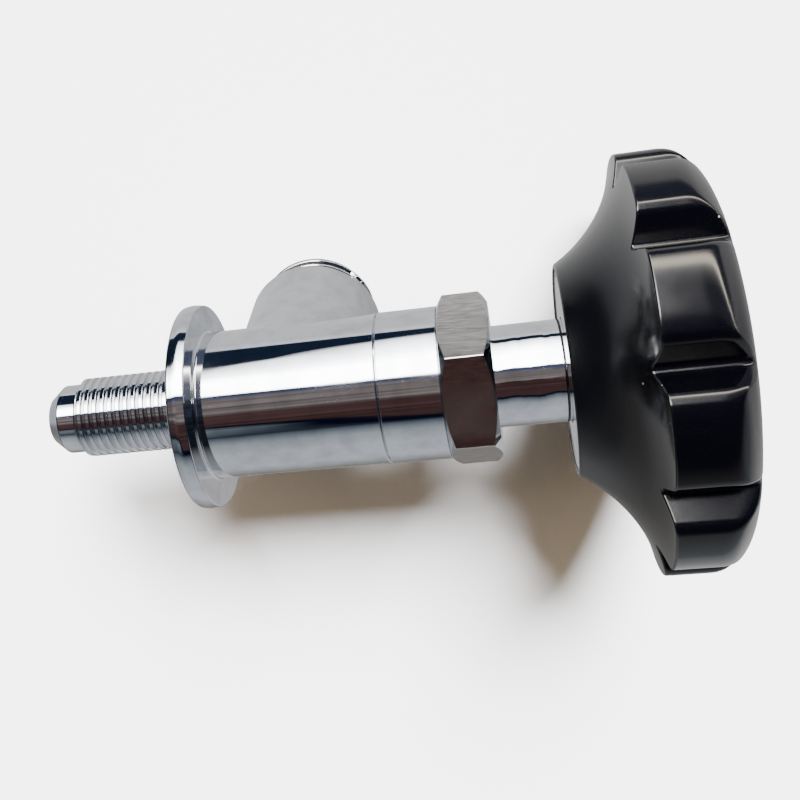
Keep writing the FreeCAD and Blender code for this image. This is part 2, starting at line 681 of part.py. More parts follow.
def knob_cap():
    """The plain domed cap that snaps into the knob's front and hides its screw."""
    cap_r = CAP_D / 2 - RUNNING_GAP
    skirt_r = POCKET_D / 2 - RUNNING_GAP
    dome_r = (cap_r ** 2 + CAP_DOME ** 2) / (2 * CAP_DOME)
    dome = Part.makeSphere(dome_r, VEC(DISH_X + CAP_DOME - dome_r, 0, 0), X_AXIS)
    disc = rod(CAP_X, DISH_X + CAP_DOME + PAST, 2 * cap_r).common(dome)
    skirt = ring(CAP_X - CAP_SKIRT_LEN, CAP_X, 2 * (skirt_r - CAP_SKIRT_T), 2 * skirt_r)
    return disc.fuse(skirt).removeSplitter()


def plain_washer():
    """The flat washer on the front of the knob's core."""
    return ring(CORE_END_X, WASHER_X, SCREW_HOLE_D, PLAIN_WASHER_D)


def spring_washer():
    """The split washer that keeps the knob screw tight."""
    washer = ring(WASHER_X, HEAD_X, SCREW_HOLE_D, SPRING_WASHER_D)
    corner = VEC(WASHER_X - PAST, 0, -SLOT_W / 2)
    split = Part.makeBox(SPRING_WASHER_T + 2 * PAST, SPRING_WASHER_D, SLOT_W, corner)
    return washer.cut(split)


def knob_screw():
    """The socket-head screw that draws the knob onto the spindle's square."""
    screw = rod(HEAD_X, HEAD_X + KNOB_HEAD_T, KNOB_HEAD_D)
    screw = screw.fuse(rod(HEAD_X - KNOB_SCREW_LEN, HEAD_X, KNOB_SCREW_D)).removeSplitter()
    top = HEAD_X + KNOB_HEAD_T
    return screw.cut(prism(top - KNOB_SOCKET_DEPTH, top + PAST, 6, KNOB_SOCKET_AF, 0))


PIECES = {
    "valve_body": valve_body,
    "seat_insert": seat_insert,
    "bonnet_gasket": bonnet_gasket,
    "bonnet": bonnet,
    "packing_base_washer": packing_base_washer,
    "packing_rings": packing_rings,
    "packing_follower": packing_follower,
    "packing_spring": packing_spring,
    "gland_nut": gland_nut,
    "stem_o_ring": stem_o_ring,
    "valve_plug": valve_plug,
    "seal_disc": seal_disc,
    "seal_washer": seal_washer,
    "seal_screw": seal_screw,
    "plug_clip": plug_clip,
    "stem": stem,
    "hub_insert": hub_insert,
    "hub_back_plate": hub_back_plate,
    "knob": knob,
    "knob_cap": knob_cap,
    "plain_washer": plain_washer,
    "spring_washer": spring_washer,
    "knob_screw": knob_screw,
}

os.makedirs("parts", exist_ok=True)
for name, make in PIECES.items():
    piece = make()
    box = piece.BoundBox
    print(name, "valid" if piece.isValid() else "NOT VALID", len(piece.Solids), "solid(s),",
          round(piece.Volume, 1), "mm3, X", round(box.XMin, 2), "to", round(box.XMax, 2))
    piece.exportStep("parts/" + name + ".step")
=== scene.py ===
"""The looks of a hand-operated steam valve: chromed body and bonnet, black lobed knob."""

import logging
import math
from dataclasses import dataclass
from enum import Enum
from typing import Sequence

import bpy
import numpy as np
from mathutils import Matrix, Vector


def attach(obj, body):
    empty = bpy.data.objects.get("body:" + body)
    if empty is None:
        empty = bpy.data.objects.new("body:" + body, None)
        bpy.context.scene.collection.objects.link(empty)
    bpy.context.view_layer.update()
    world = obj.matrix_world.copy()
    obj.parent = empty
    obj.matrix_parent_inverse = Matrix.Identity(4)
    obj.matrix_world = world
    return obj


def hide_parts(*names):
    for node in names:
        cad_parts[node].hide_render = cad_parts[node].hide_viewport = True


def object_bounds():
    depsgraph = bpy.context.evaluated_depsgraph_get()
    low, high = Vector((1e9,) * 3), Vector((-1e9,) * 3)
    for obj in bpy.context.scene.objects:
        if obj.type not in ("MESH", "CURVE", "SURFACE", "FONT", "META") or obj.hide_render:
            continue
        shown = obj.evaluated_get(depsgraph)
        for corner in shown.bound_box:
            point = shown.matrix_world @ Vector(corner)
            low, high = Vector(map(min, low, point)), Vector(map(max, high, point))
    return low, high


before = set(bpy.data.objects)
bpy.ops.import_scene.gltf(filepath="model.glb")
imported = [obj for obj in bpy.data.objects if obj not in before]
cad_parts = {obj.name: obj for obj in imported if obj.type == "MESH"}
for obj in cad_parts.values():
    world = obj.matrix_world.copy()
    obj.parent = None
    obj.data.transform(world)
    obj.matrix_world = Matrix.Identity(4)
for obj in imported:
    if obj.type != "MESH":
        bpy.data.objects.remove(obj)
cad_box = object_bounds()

MM = 0.001
WELD_STEP = 0.002
WELD_SHIFT = 0.37
ARC_STEP = math.radians(11.0)
STRAIGHT = 1e-6
SMALLEST = 1e-9
FULL_TURN = 2 * math.pi

Tree = bpy.types.NodeTree
Socket = bpy.types.NodeSocket
Triple = tuple[float, float, float]
Corners = Sequence[Triple]
Edge = tuple[np.ndarray, np.ndarray | float]

log = logging.getLogger("steam_valve")


class RidesOn(Enum):
    """The moving groups of the valve."""

    HOUSING = "housing"
    PLUG = "plug"
    HANDLE = "handle"


class Slot(Enum):
    """The finishes that the record names."""

    CHROMED_BRASS = "chromed_brass"
    CHROMED_BONNET = "chromed_brass_bonnet"
    CHROMED_CORE = "chromed_core"
    CHROMED_PLATE = "chromed_plate"
    BARE_BRASS = "bare_brass"
    PTFE = "ptfe"
    SPRING_STEEL = "spring_steel"
    STAINLESS = "turned_stainless"
    SEAL_RUBBER = "seal_rubber"
    BLACK_PHENOLIC = "black_phenolic"
    BLACK_CAP = "black_cap"


def srgb(code: str) -> tuple[float, float, float, float]:
    """Turns a hex colour such as #d2d3d6 into linear light.

    Args:
        code: The colour, with its leading hash sign.

    Returns:
        Red, green, blue and an alpha of 1.
    """
    parts = [int(code[i:i + 2], 16) / 255 for i in (1, 3, 5)]
    linear = [c / 12.92 if c <= 0.04045 else ((c + 0.055) / 1.055) ** 2.4 for c in parts]
    return linear[0], linear[1], linear[2], 1.0


def add_node(
    tree: Tree, kind: str, links: dict | Sequence = (), out: str | int = 0, **settings: object
) -> Socket | None:
    """Adds one shader node.

    Args:
        tree: The tree that gets the node.
        kind: The node's class name without ShaderNode.
        links: What the inputs take, by name or in their order: another node's output, or a value.
        out: The output that is wanted.
        settings: The node's own properties.

    Returns:
        The socket of that output, or nothing where the node has none.
    """
    node = tree.nodes.new("ShaderNode" + kind)
    for key, value in settings.items():
        setattr(node, key, value)
    for key, value in links.items() if isinstance(links, dict) else enumerate(links):
        if isinstance(value, Socket):
            tree.links.new(value, node.inputs[key])
        else:
            node.inputs[key].default_value = value
    return node.outputs[out] if len(node.outputs) else None


def new_material(name: str) -> tuple[bpy.types.Material, Tree]:
    """Makes an empty node material.

    Args:
        name: The material's name.

    Returns:
        The material and its node tree.
    """
    material = bpy.data.materials.new(name)
    material.use_nodes = True
    material.node_tree.nodes.clear()
    return material, material.node_tree


def place_in_mm(tree: Tree, stretch: Triple = (1, 1, 1)) -> Socket:
    """Gives a surface point's own place in millimetres.

    Args:
        tree: The tree that gets the nodes.
        stretch: How much each axis is scaled besides, to draw a pattern out.

    Returns:
        The socket that holds the place.
    """
    place = add_node(tree, "TexCoord", out="Object")
    return add_node(tree, "Mapping", {"Vector": place, "Scale": tuple(s / MM for s in stretch)})


def speckle(tree: Tree, size_mm: float, detail: float, stretch: Triple = (1, 1, 1)) -> Socket:
    """Makes a cloudy pattern.

    Args:
        tree: The tree that gets the nodes.
        size_mm: How wide its patches are, about.
        detail: How many finer layers it has.
        stretch: How much each axis is scaled besides.

    Returns:
        The socket that holds the pattern, from 0 to 1.
    """
    links = {"Vector": place_in_mm(tree, stretch), "Scale": 0.5 / size_mm, "Detail": detail}
    return add_node(tree, "TexNoise", links, out="Fac")


def relief(
    tree: Tree,
    size_mm: float,
    detail: float,
    depth_mm: float,
    below: Socket | None = None,
    stretch: Triple = (1, 1, 1),
) -> Socket:
    """Presses a cloudy pattern into a surface.

    Args:
        tree: The tree that gets the nodes.
        size_mm: How wide the pattern's patches are, about.
        detail: How many finer layers it has.
        depth_mm: The real height between its lowest and highest points.
        below: The surface direction that a coarser pattern has already changed.
        stretch: How much each axis is scaled besides.

    Returns:
        The socket that holds the changed surface direction.
    """
    links = {"Height": speckle(tree, size_mm, detail, stretch), "Distance": depth_mm * MM, "Strength": 1.0}
    if below is not None:
        links["Normal"] = below
    return add_node(tree, "Bump", links)


@dataclass(frozen=True)
class Finish:
    """What a surface is and how it was made."""

    name: str

    def material(self) -> bpy.types.Material:
        """The material that has this finish."""
        material, tree = new_material(self.name)
        add_node(tree, "OutputMaterial", {"Surface": add_node(tree, "BsdfPrincipled", self.surface(tree))})
        return material

    def surface(self, tree: Tree) -> dict[str, object]:
        """Adds the patterns of the finish.

        Args:
            tree: The tree that gets them.

        Returns:
            The shader's inputs.
        """
        raise NotImplementedError


@dataclass(frozen=True)
class PolishedChrome(Finish):
    """Bright chromium over nickel on brass, buffed before plating.

    The buffing leaves slow waves that bend the edges of reflections, and the plating a fine
    grain that dulls dark reflections a little.
    """

    tint: str = "#d9dbdf"
    hazy_tint: str = "#c6c9ce"
    haze_mm: float = 1.6
    haze_span: tuple[float, float] = (0.42, 0.68)
    roughness: float = 0.018
    wave_mm: float = 4.5
    wave_depth_mm: float = 0.009
    grain_mm: float = 0.35
    grain_depth_mm: float = 0.0006
    smear_mm: float = 6.0
    smear_span: tuple[float, float] = (0.45, 0.72)
    smear_roughness: float = 0.07

    def surface(self, tree: Tree) -> dict[str, object]:
        """Adds the waves, the grain, faint smears and a haze.

        Args:
            tree: The tree that gets the patterns.

        Returns:
            The shader's inputs.
        """
        waves = relief(tree, self.wave_mm, 1.0, self.wave_depth_mm)
        clouds = speckle(tree, self.haze_mm, 4.0)
        haze = add_node(tree, "MapRange", (clouds, *self.haze_span, 0.0, 1.0))
        tints = {"Factor": haze, "A": srgb(self.tint), "B": srgb(self.hazy_tint)}
        smears = speckle(tree, self.smear_mm, 5.0)
        roughest = self.roughness + self.smear_roughness
        return {
            "Base Color": add_node(tree, "Mix", tints, out="Result", data_type="RGBA"),
            "Metallic": 1.0,
            "Roughness": add_node(tree, "MapRange", (smears, *self.smear_span, self.roughness, roughest)),
            "Normal": relief(tree, self.grain_mm, 3.0, self.grain_depth_mm, waves),
        }


@dataclass(frozen=True)
class DrawnChrome(Finish):
    """Chromium over the flats of a drawn hexagon bar.

    The die leaves fine lines along the bar, which the plating follows, so the flats are satin
    and only their reflections along the bar stay sharp.
    """

    tint: str = "#d6d2cc"
    dull_tint: str = "#aaa49c"
    roughness: float = 0.20
    roughness_swing: float = 0.06
    line_mm: float = 0.07
    line_length: float = 16.0
    line_depth_mm: float = 0.002
    cloud_mm: float = 2.5
    cloud_length: float = 4.0
    pattern_span: tuple[float, float] = (0.35, 0.65)

    def surface(self, tree: Tree) -> dict[str, object]:
        """Adds the drawing lines and a slight unevenness.

        Args:
            tree: The tree that gets the patterns.

        Returns:
            The shader's inputs.
        """
        drawn_out = (1 / self.line_length, 1, 1)
        drawn = speckle(tree, self.line_mm, 4.0, drawn_out)
        lines = add_node(tree, "MapRange", (drawn, *self.pattern_span, 0.0, 1.0))
        tints = {"Factor": lines, "A": srgb(self.dull_tint), "B": srgb(self.tint)}
        clouds = speckle(tree, self.cloud_mm, 3.0, (1 / self.cloud_length, 1, 1))
        limits = (self.roughness - self.roughness_swing, self.roughness + self.roughness_swing)
        return {
            "Base Color": add_node(tree, "Mix", tints, out="Result", data_type="RGBA"),
            "Metallic": 1.0,
            "Roughness": add_node(tree, "MapRange", (clouds, *self.pattern_span, *limits)),
            "Normal": relief(tree, self.line_mm, 4.0, self.line_depth_mm, stretch=drawn_out),
        }


@dataclass(frozen=True)
class MouldedPhenolic(Finish):
    """Black phenolic as it comes out of a polished mould.

    Its skin is glossy but softer than glass, with a fine ripple, and it gathers dust specks.
    Hands keep the lobes brighter than the flare behind them, which reflects more dimly.
    """

    tint: str = "#010102"
    roughness: float = 0.12
    flare_roughness: float = 0.20
    flare_r_mm: float = 24.0
    lobes_r_mm: float = 29.0
    ior: float = 1.6
    ripple_mm: float = 1.2
    ripple_depth_mm: float = 0.004
    grain_mm: float = 0.18
    grain_depth_mm: float = 0.0015
    haze_mm: float = 6.0
    haze_roughness: float = 0.05
    dust_spacing_mm: float = 5.0
    haze_span: tuple[float, float] = (0.4, 0.7)
    dust_mm: float = 0.16
    dust_core: float = 0.7
    dust_tint: str = "#6b6964"

    def surface(self, tree: Tree) -> dict[str, object]:
        """Adds the ripple, the grain, the haze and the dust.

        Args:
            tree: The tree that gets the patterns.

        Returns:
            The shader's inputs.
        """
        place = place_in_mm(tree)
        ripple = relief(tree, self.ripple_mm, 1.0, self.ripple_depth_mm)
        cells = {"Vector": place, "Scale": 1 / self.dust_spacing_mm}
        distance = add_node(tree, "TexVoronoi", cells, out="Distance")
        near = self.dust_mm / self.dust_spacing_mm
        specks = add_node(tree, "MapRange", (distance, near * self.dust_core, near, 1.0, 0.0))
        tints = {"Factor": specks, "A": srgb(self.tint), "B": srgb(self.dust_tint)}
        across = add_node(tree, "VectorMath", (place, (0.0, 1.0, 1.0)), operation="MULTIPLY")
        reach = add_node(tree, "VectorMath", (across,), out="Value", operation="LENGTH")
        wear = (reach, self.flare_r_mm, self.lobes_r_mm, self.flare_roughness, self.roughness)
        haze = (speckle(tree, self.haze_mm, 4.0), *self.haze_span, 0.0, self.haze_roughness)
        shares = (add_node(tree, "MapRange", wear), add_node(tree, "MapRange", haze))
        return {
            "Base Color": add_node(tree, "Mix", tints, out="Result", data_type="RGBA"),
            "Roughness": add_node(tree, "Math", shares, operation="ADD"),
            "IOR": self.ior,
            "Normal": relief(tree, self.grain_mm, 2.0, self.grain_depth_mm, ripple),
        }


@dataclass(frozen=True)
class TurnedMetal(Finish):
    """Bare metal with the fine rings that a lathe tool leaves, a little tarnished."""

    tint: str
    roughness: float
    ring_mm: float = 0.25
    ring_depth_mm: float = 0.003
    ring_stretch: Triple = (1, 0.02, 0.02)
    tarnish_mm: float = 1.5
    tarnish_span: tuple[float, float] = (0.4, 0.7)
    tarnish: float = 0.72

    def surface(self, tree: Tree) -> dict[str, object]:
        """Adds the tool rings and some tarnish.

        Args:
            tree: The tree that gets the patterns.

        Returns:
            The shader's inputs.
        """
        clouds = speckle(tree, self.tarnish_mm, 4.0)
        tarnish = add_node(tree, "MapRange", (clouds, *self.tarnish_span, 0.0, 1.0))
        dull = tuple(c * self.tarnish for c in srgb(self.tint)[:3]) + (1.0,)
        tints = {"Factor": tarnish, "A": srgb(self.tint), "B": dull}
        return {
            "Base Color": add_node(tree, "Mix", tints, out="Result", data_type="RGBA"),
            "Metallic": 1.0,
            "Roughness": self.roughness,
            "Normal": relief(tree, self.ring_mm, 2.0, self.ring_depth_mm, stretch=self.ring_stretch),
        }


@dataclass(frozen=True)
class MouldedSeal(Finish):
    """A soft seal, matt, with the faint bloom of moulded rubber or the wax look of PTFE."""

    tint: str
    bloom: str
    roughness: float
    ior: float
    bloom_mm: float = 0.8
    grain_mm: float = 0.12
    grain_depth_mm: float = 0.004

    def surface(self, tree: Tree) -> dict[str, object]:
        """Adds the bloom and a fine grain.

        Args:
            tree: The tree that gets the patterns.

        Returns:
            The shader's inputs.
        """
        bloom = speckle(tree, self.bloom_mm, 4.0)
        tints = {"Factor": bloom, "A": srgb(self.tint), "B": srgb(self.bloom)}
        return {
            "Base Color": add_node(tree, "Mix", tints, out="Result", data_type="RGBA"),
            "Roughness": self.roughness,
            "IOR": self.ior,
            "Normal": relief(tree, self.grain_mm, 3.0, self.grain_depth_mm),
        }


@dataclass(frozen=True)
class TurnAxis:
    """An axis that sections are turned about, in millimetres."""

    origin: Triple
    along: Triple
    zero: Triple
    quarter: Triple

    def aim(self, along: np.ndarray, out: np.ndarray, angle: np.ndarray) -> np.ndarray:
        """Turns a direction's shares into a direction in space.

        Args:
            along: Its share along the axis.
            out: Its share away from the axis.
            angle: Where round the axis it starts.

        Returns:
            The direction as x, y and z.
        """
        radial = np.cos(angle)[..., None] * np.array(self.zero, float)
        radial = radial + np.sin(angle)[..., None] * np.array(self.quarter, float)
        return along[..., None] * np.array(self.along, float) + out[..., None] * radial

    def at(self, along: np.ndarray, radius: np.ndarray, angle: np.ndarray) -> np.ndarray:
        """The point at a station, radius and angle."""
        return np.array(self.origin, float) + self.aim(along, radius, angle)


VALVE_AXIS = TurnAxis((0, 0, 0), (1, 0, 0), (0, 0, -1), (0, 1, 0))


def rounded(corners: Corners) -> tuple[np.ndarray, np.ndarray]:
    """Draws a section with its corners rounded.

    Args:
        corners: Station, radius from the axis and rounding of each corner. A rounding of 0
            leaves a sharp edge.

    Returns:
        Points (station, radius) and the outward direction at each.
    """
    knots = np.array([c[:2] for c in corners], float)
    points, normals = [], []

    def put(point: np.ndarray, heading: float) -> None:
        """Keeps a point of a line with that heading."""
        points.append(point)
        normals.append((-math.sin(heading), math.cos(heading)))

    headings = [math.atan2(step[1], step[0]) for step in np.diff(knots, axis=0)]
    put(knots[0], headings[0])
    for i in range(1, len(knots) - 1):
        before, after = headings[i - 1], headings[i]
        turn = (after - before + math.pi) % FULL_TURN - math.pi
        radius = corners[i][2]
        if radius <= 0 or abs(turn) < STRAIGHT:
            put(knots[i], before)
            put(knots[i], before + turn)
            continue
        reach = radius * math.tan(abs(turn) / 2)
        side = math.copysign(1.0, turn)
        start = knots[i] - reach * np.array((math.cos(before), math.sin(before)))
        centre = start + side * radius * np.array((-math.sin(before), math.cos(before)))
        count = max(2, math.ceil(abs(turn) / ARC_STEP)) + 1
        for k in range(count):
            heading = before + turn * k / (count - 1)
            put(centre - side * radius * np.array((-math.sin(heading), math.cos(heading))), heading)
    put(knots[-1], headings[-1])
    return np.array(points), np.array(normals)


@dataclass(frozen=True)
class PipeThread:
    """A 55 degree pipe thread with rounded roots, in millimetres.

    Polishing before plating takes the tops off, which leaves a land on each crest.
    """

    crest_r: float
    pitch: float
    land: float = 0.0
    flank: float = math.radians(27.5)

    @property
    def rounding(self) -> float:
        """Radius of crest and root."""
        return 0.137329 * self.pitch

    @property
    def arc_reach(self) -> float:
        """Half the width of the rounded crest."""
        return self.rounding * math.cos(self.flank)

    @property
    def sagitta(self) -> float:
        """Height of the rounding above the flank's end."""
        return self.rounding * (1 - math.sin(self.flank))

    @property
    def depth(self) -> float:
        """Height from root to crest."""
        flank_w = self.pitch / 2 - self.land - 2 * self.arc_reach
        return 2 * self.sagitta + flank_w / math.tan(self.flank)

    def row_offsets(self) -> np.ndarray:
        """Where the rows of one turn lie, measured from a crest's middle."""
        arc = self.arc_reach
        crest = np.linspace(0.0, arc, 4) + self.land
        return np.concatenate([-crest[::-1], crest, self.pitch / 2 + np.linspace(-arc, arc, 7)])

    def section(self, offset: np.ndarray) -> tuple[np.ndarray, np.ndarray]:
        """The thread's own section.

        Args:
            offset: Distance along the thread from any crest's middle.

        Returns:
            Radius, and slope of the radius, at each offset.
        """
        signed = (offset + self.pitch / 2) % self.pitch - self.pitch / 2
        u = np.maximum(np.abs(signed) - self.land, 0.0)
        v = self.pitch / 2 - np.abs(signed)
        reach, rounding = self.arc_reach, self.rounding
        steep = 1 / math.tan(self.flank)
        crest_h, root_h = (
            np.sqrt(np.maximum(rounding ** 2 - np.minimum(w, reach) ** 2, SMALLEST)) for w in (u, v)
        )
        flank = self.depth - self.sagitta - (u - reach) * steep
        height = np.where(u < reach, self.depth - rounding + crest_h, flank)
        height = np.where(v < reach, rounding - root_h, height)
        slope = np.where(u < reach, -u / crest_h, -steep)
        slope = np.where(v < reach, -v / root_h, slope) * np.sign(signed)
        return self.crest_r - self.depth + height, slope


class Shell:
    """Collects the patches of one closed mesh, with the exact direction of each point."""

    def __init__(self) -> None:
        """Starts with nothing."""
        self.points: list[np.ndarray] = []
        self.normals: list[np.ndarray] = []
        self.quads: list[np.ndarray] = []
        self.triangles: list[np.ndarray] = []
        self.count = 0

    def _keep(self, points: np.ndarray, normals: np.ndarray) -> int:
        """Stores points and gives the number of the first."""
        first = self.count
        self.points.append(points.reshape(-1, 3))
        self.normals.append(np.broadcast_to(normals, points.shape).reshape(-1, 3))
        self.count += self.points[-1].shape[0]
        return first

    def grid(self, points: np.ndarray, normals: np.ndarray) -> None:
        """Adds a patch of rows and columns.

        Args:
            points: Rows, columns, and x, y, z in millimetres.
            normals: The direction at each point.
        """
        rows, columns = points.shape[:2]
        index = self._keep(points, normals) + np.arange(rows * columns).reshape(rows, columns)
        quads = np.stack([index[:-1, :-1], index[:-1, 1:], index[1:, 1:], index[1:, :-1]], -1)
        self.quads.append(quads.reshape(-1, 4))

    def turned(self, axis: TurnAxis, corners: Corners, angles: np.ndarray) -> None:
        """Adds a turned surface.

        Args:
            axis: What it is turned about.
            corners: Its section, as the function rounded takes it.
            angles: The angles of its columns, the first and last a full turn apart.
        """
        columns = np.concatenate(rounded(corners), axis=1).T
        station, radius, along, out = (np.repeat(c[:, None], len(angles), 1) for c in columns)
        turn = np.broadcast_to(angles, station.shape)
        self.grid(axis.at(station, radius, turn), axis.aim(along, out, turn))

    def flat_ring(self, axis: TurnAxis, station: float, inner: Edge, outer: Edge, facing: float) -> None:
        """Adds a flat ring between two edges whose points differ in number.

        Args:
            axis: What the ring lies round.
            station: Where it lies along the axis.
            inner: Angles and radii of the inner edge.
            outer: Angles and radii of the outer edge.
            facing: 1 if it faces along the axis, -1 if it faces back.
        """
        loops = []
        for angles, radii in (inner, outer):
            turn = np.asarray(angles, float)
            points = axis.at(np.full_like(turn, station), np.broadcast_to(radii, turn.shape), turn)
            loops.append((turn, self._keep(points, facing * np.array(axis.along, float))))
        (a_turn, a_first), (b_turn, b_first) = loops
        a, b, found = 0, 0, []
        while a < len(a_turn) - 1 or b < len(b_turn) - 1:
            step_a = b == len(b_turn) - 1 or (a < len(a_turn) - 1 and a_turn[a + 1] <= b_turn[b + 1])
            third = a_first + a + 1 if step_a else b_first + b + 1
            found.append((a_first + a, b_first + b, third))
            a, b = (a + 1, b) if step_a else (a, b + 1)
        self.triangles.append(np.array(found))

    def threaded(
        self,
        axis: TurnAxis,
        thread: PipeThread,
        span: tuple[float, float],
        ends: tuple[tuple[float, float], tuple[float, float]],
        angles: np.ndarray,
        hand: float,
        phase: float,
    ) -> np.ndarray:
        """Cuts a real helical thread between two stations.

        Args:
            axis: The thread's axis.
            thread: Its form.
            span: First and last station.
            ends: For each end, the radius there and how fast the turned lead grows inwards.
            angles: The angles of the columns, the first and last a full turn apart.
            hand: 1 if the crests move along the axis as the angle grows, -1 if they move back.
            phase: Where a crest lies at angle 0, as a share of the pitch.

        Returns:
            The radii along the last edge.
        """
        start, stop = span
        pitch = thread.pitch
        turns = math.ceil((stop - start) / pitch) + 2
        base = np.concatenate([thread.row_offsets() + (k - 1) * pitch for k in range(turns + 1)])
        advance = hand * pitch * (angles - angles[0]) / FULL_TURN
        station = start + (phase - hand) * pitch + base[:, None] + advance[None, :]
        station = np.clip(station, start, stop)
        station[0], station[-1] = start, stop
        radius, slope = thread.section(station - start - phase * pitch - advance[None, :])
        helical = np.ones_like(slope)
        for (edge_r, growth), place, side in ((ends[0], start, 1.0), (ends[1], stop, -1.0)):
            lead = edge_r + growth * side * (station - place)
            cut = lead < radius
            radius = np.where(cut, lead, radius)
            slope = np.where(cut, growth * side, slope)
            helical = np.where(cut, 0.0, helical)
        turn = np.broadcast_to(angles, station.shape)
        around = helical * slope * hand * pitch / (FULL_TURN * radius)
        tangent = -np.sin(turn)[..., None] * np.array(axis.zero)
        tangent = tangent + np.cos(turn)[..., None] * np.array(axis.quarter)
        normals = axis.aim(-slope, np.ones_like(slope), turn) + around[..., None] * tangent
        self.grid(axis.at(station, radius, turn), normals)
        return radius[-1]

    def build(self, name: str) -> bpy.types.Object:
        """Welds the patches into one mesh object.

        Args:
            name: The object's name.

        Returns:
            The new object, in metres.
        """
        points = np.concatenate(self.points)
        normals = np.concatenate(self.normals)
        keys = np.floor(points / WELD_STEP + WELD_SHIFT).astype(np.int64)
        _, firsts, welded = np.unique(keys, axis=0, return_index=True, return_inverse=True)
        welded = welded.reshape(-1)
        faces, corners = [], []
        for group in self.quads + self.triangles:
            cross = self._crossing(points[group])
            flip = (cross * normals[group].sum(1)).sum(1) < 0
            group = np.where(flip[:, None], group[:, ::-1], group)
            for raw, merged in zip(group.tolist(), welded[group].tolist()):
                keep = [k for k in range(len(merged)) if merged[k] != merged[k - 1]]
                if len(keep) > 2 and len({merged[k] for k in keep}) == len(keep):
                    faces.append([merged[k] for k in keep])
                    corners.extend(raw[k] for k in keep)
        mesh = bpy.data.meshes.new(name)
        mesh.from_pydata((points[firsts] * MM).tolist(), [], faces)
        mesh.polygons.foreach_set("use_smooth", np.ones(len(faces), bool))
        mesh.update()
        lengths = np.linalg.norm(normals, axis=1, keepdims=True)
        mesh.normals_split_custom_set((normals / np.maximum(lengths, SMALLEST))[corners].tolist())
        made = bpy.data.objects.new(name, mesh)
        bpy.context.scene.collection.objects.link(made)
        return made

    @staticmethod
    def _crossing(loops: np.ndarray) -> np.ndarray:
        """The direction in which each face turns, from its diagonals or two of its sides."""
        if loops.shape[1] == 4:
            return np.cross(loops[:, 2] - loops[:, 0], loops[:, 3] - loops[:, 1])
        return np.cross(loops[:, 1] - loops[:, 0], loops[:, 2] - loops[:, 0])


def dress(
    piece: bpy.types.Object, finish: bpy.types.Material, group: RidesOn, node: str
) -> None:
    """Gives a piece its finish and what it moves with, and hides the construction node that it stands for.

    Args:
        piece: The piece.
        finish: Its material.
        group: The body that it moves with.
        node: The construction node that it stands for.
    """
    piece.data.materials.append(finish)
    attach(piece, group.value)
    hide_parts(node)
    log.info("%s made, %d faces", piece.name, len(piece.data.polygons))


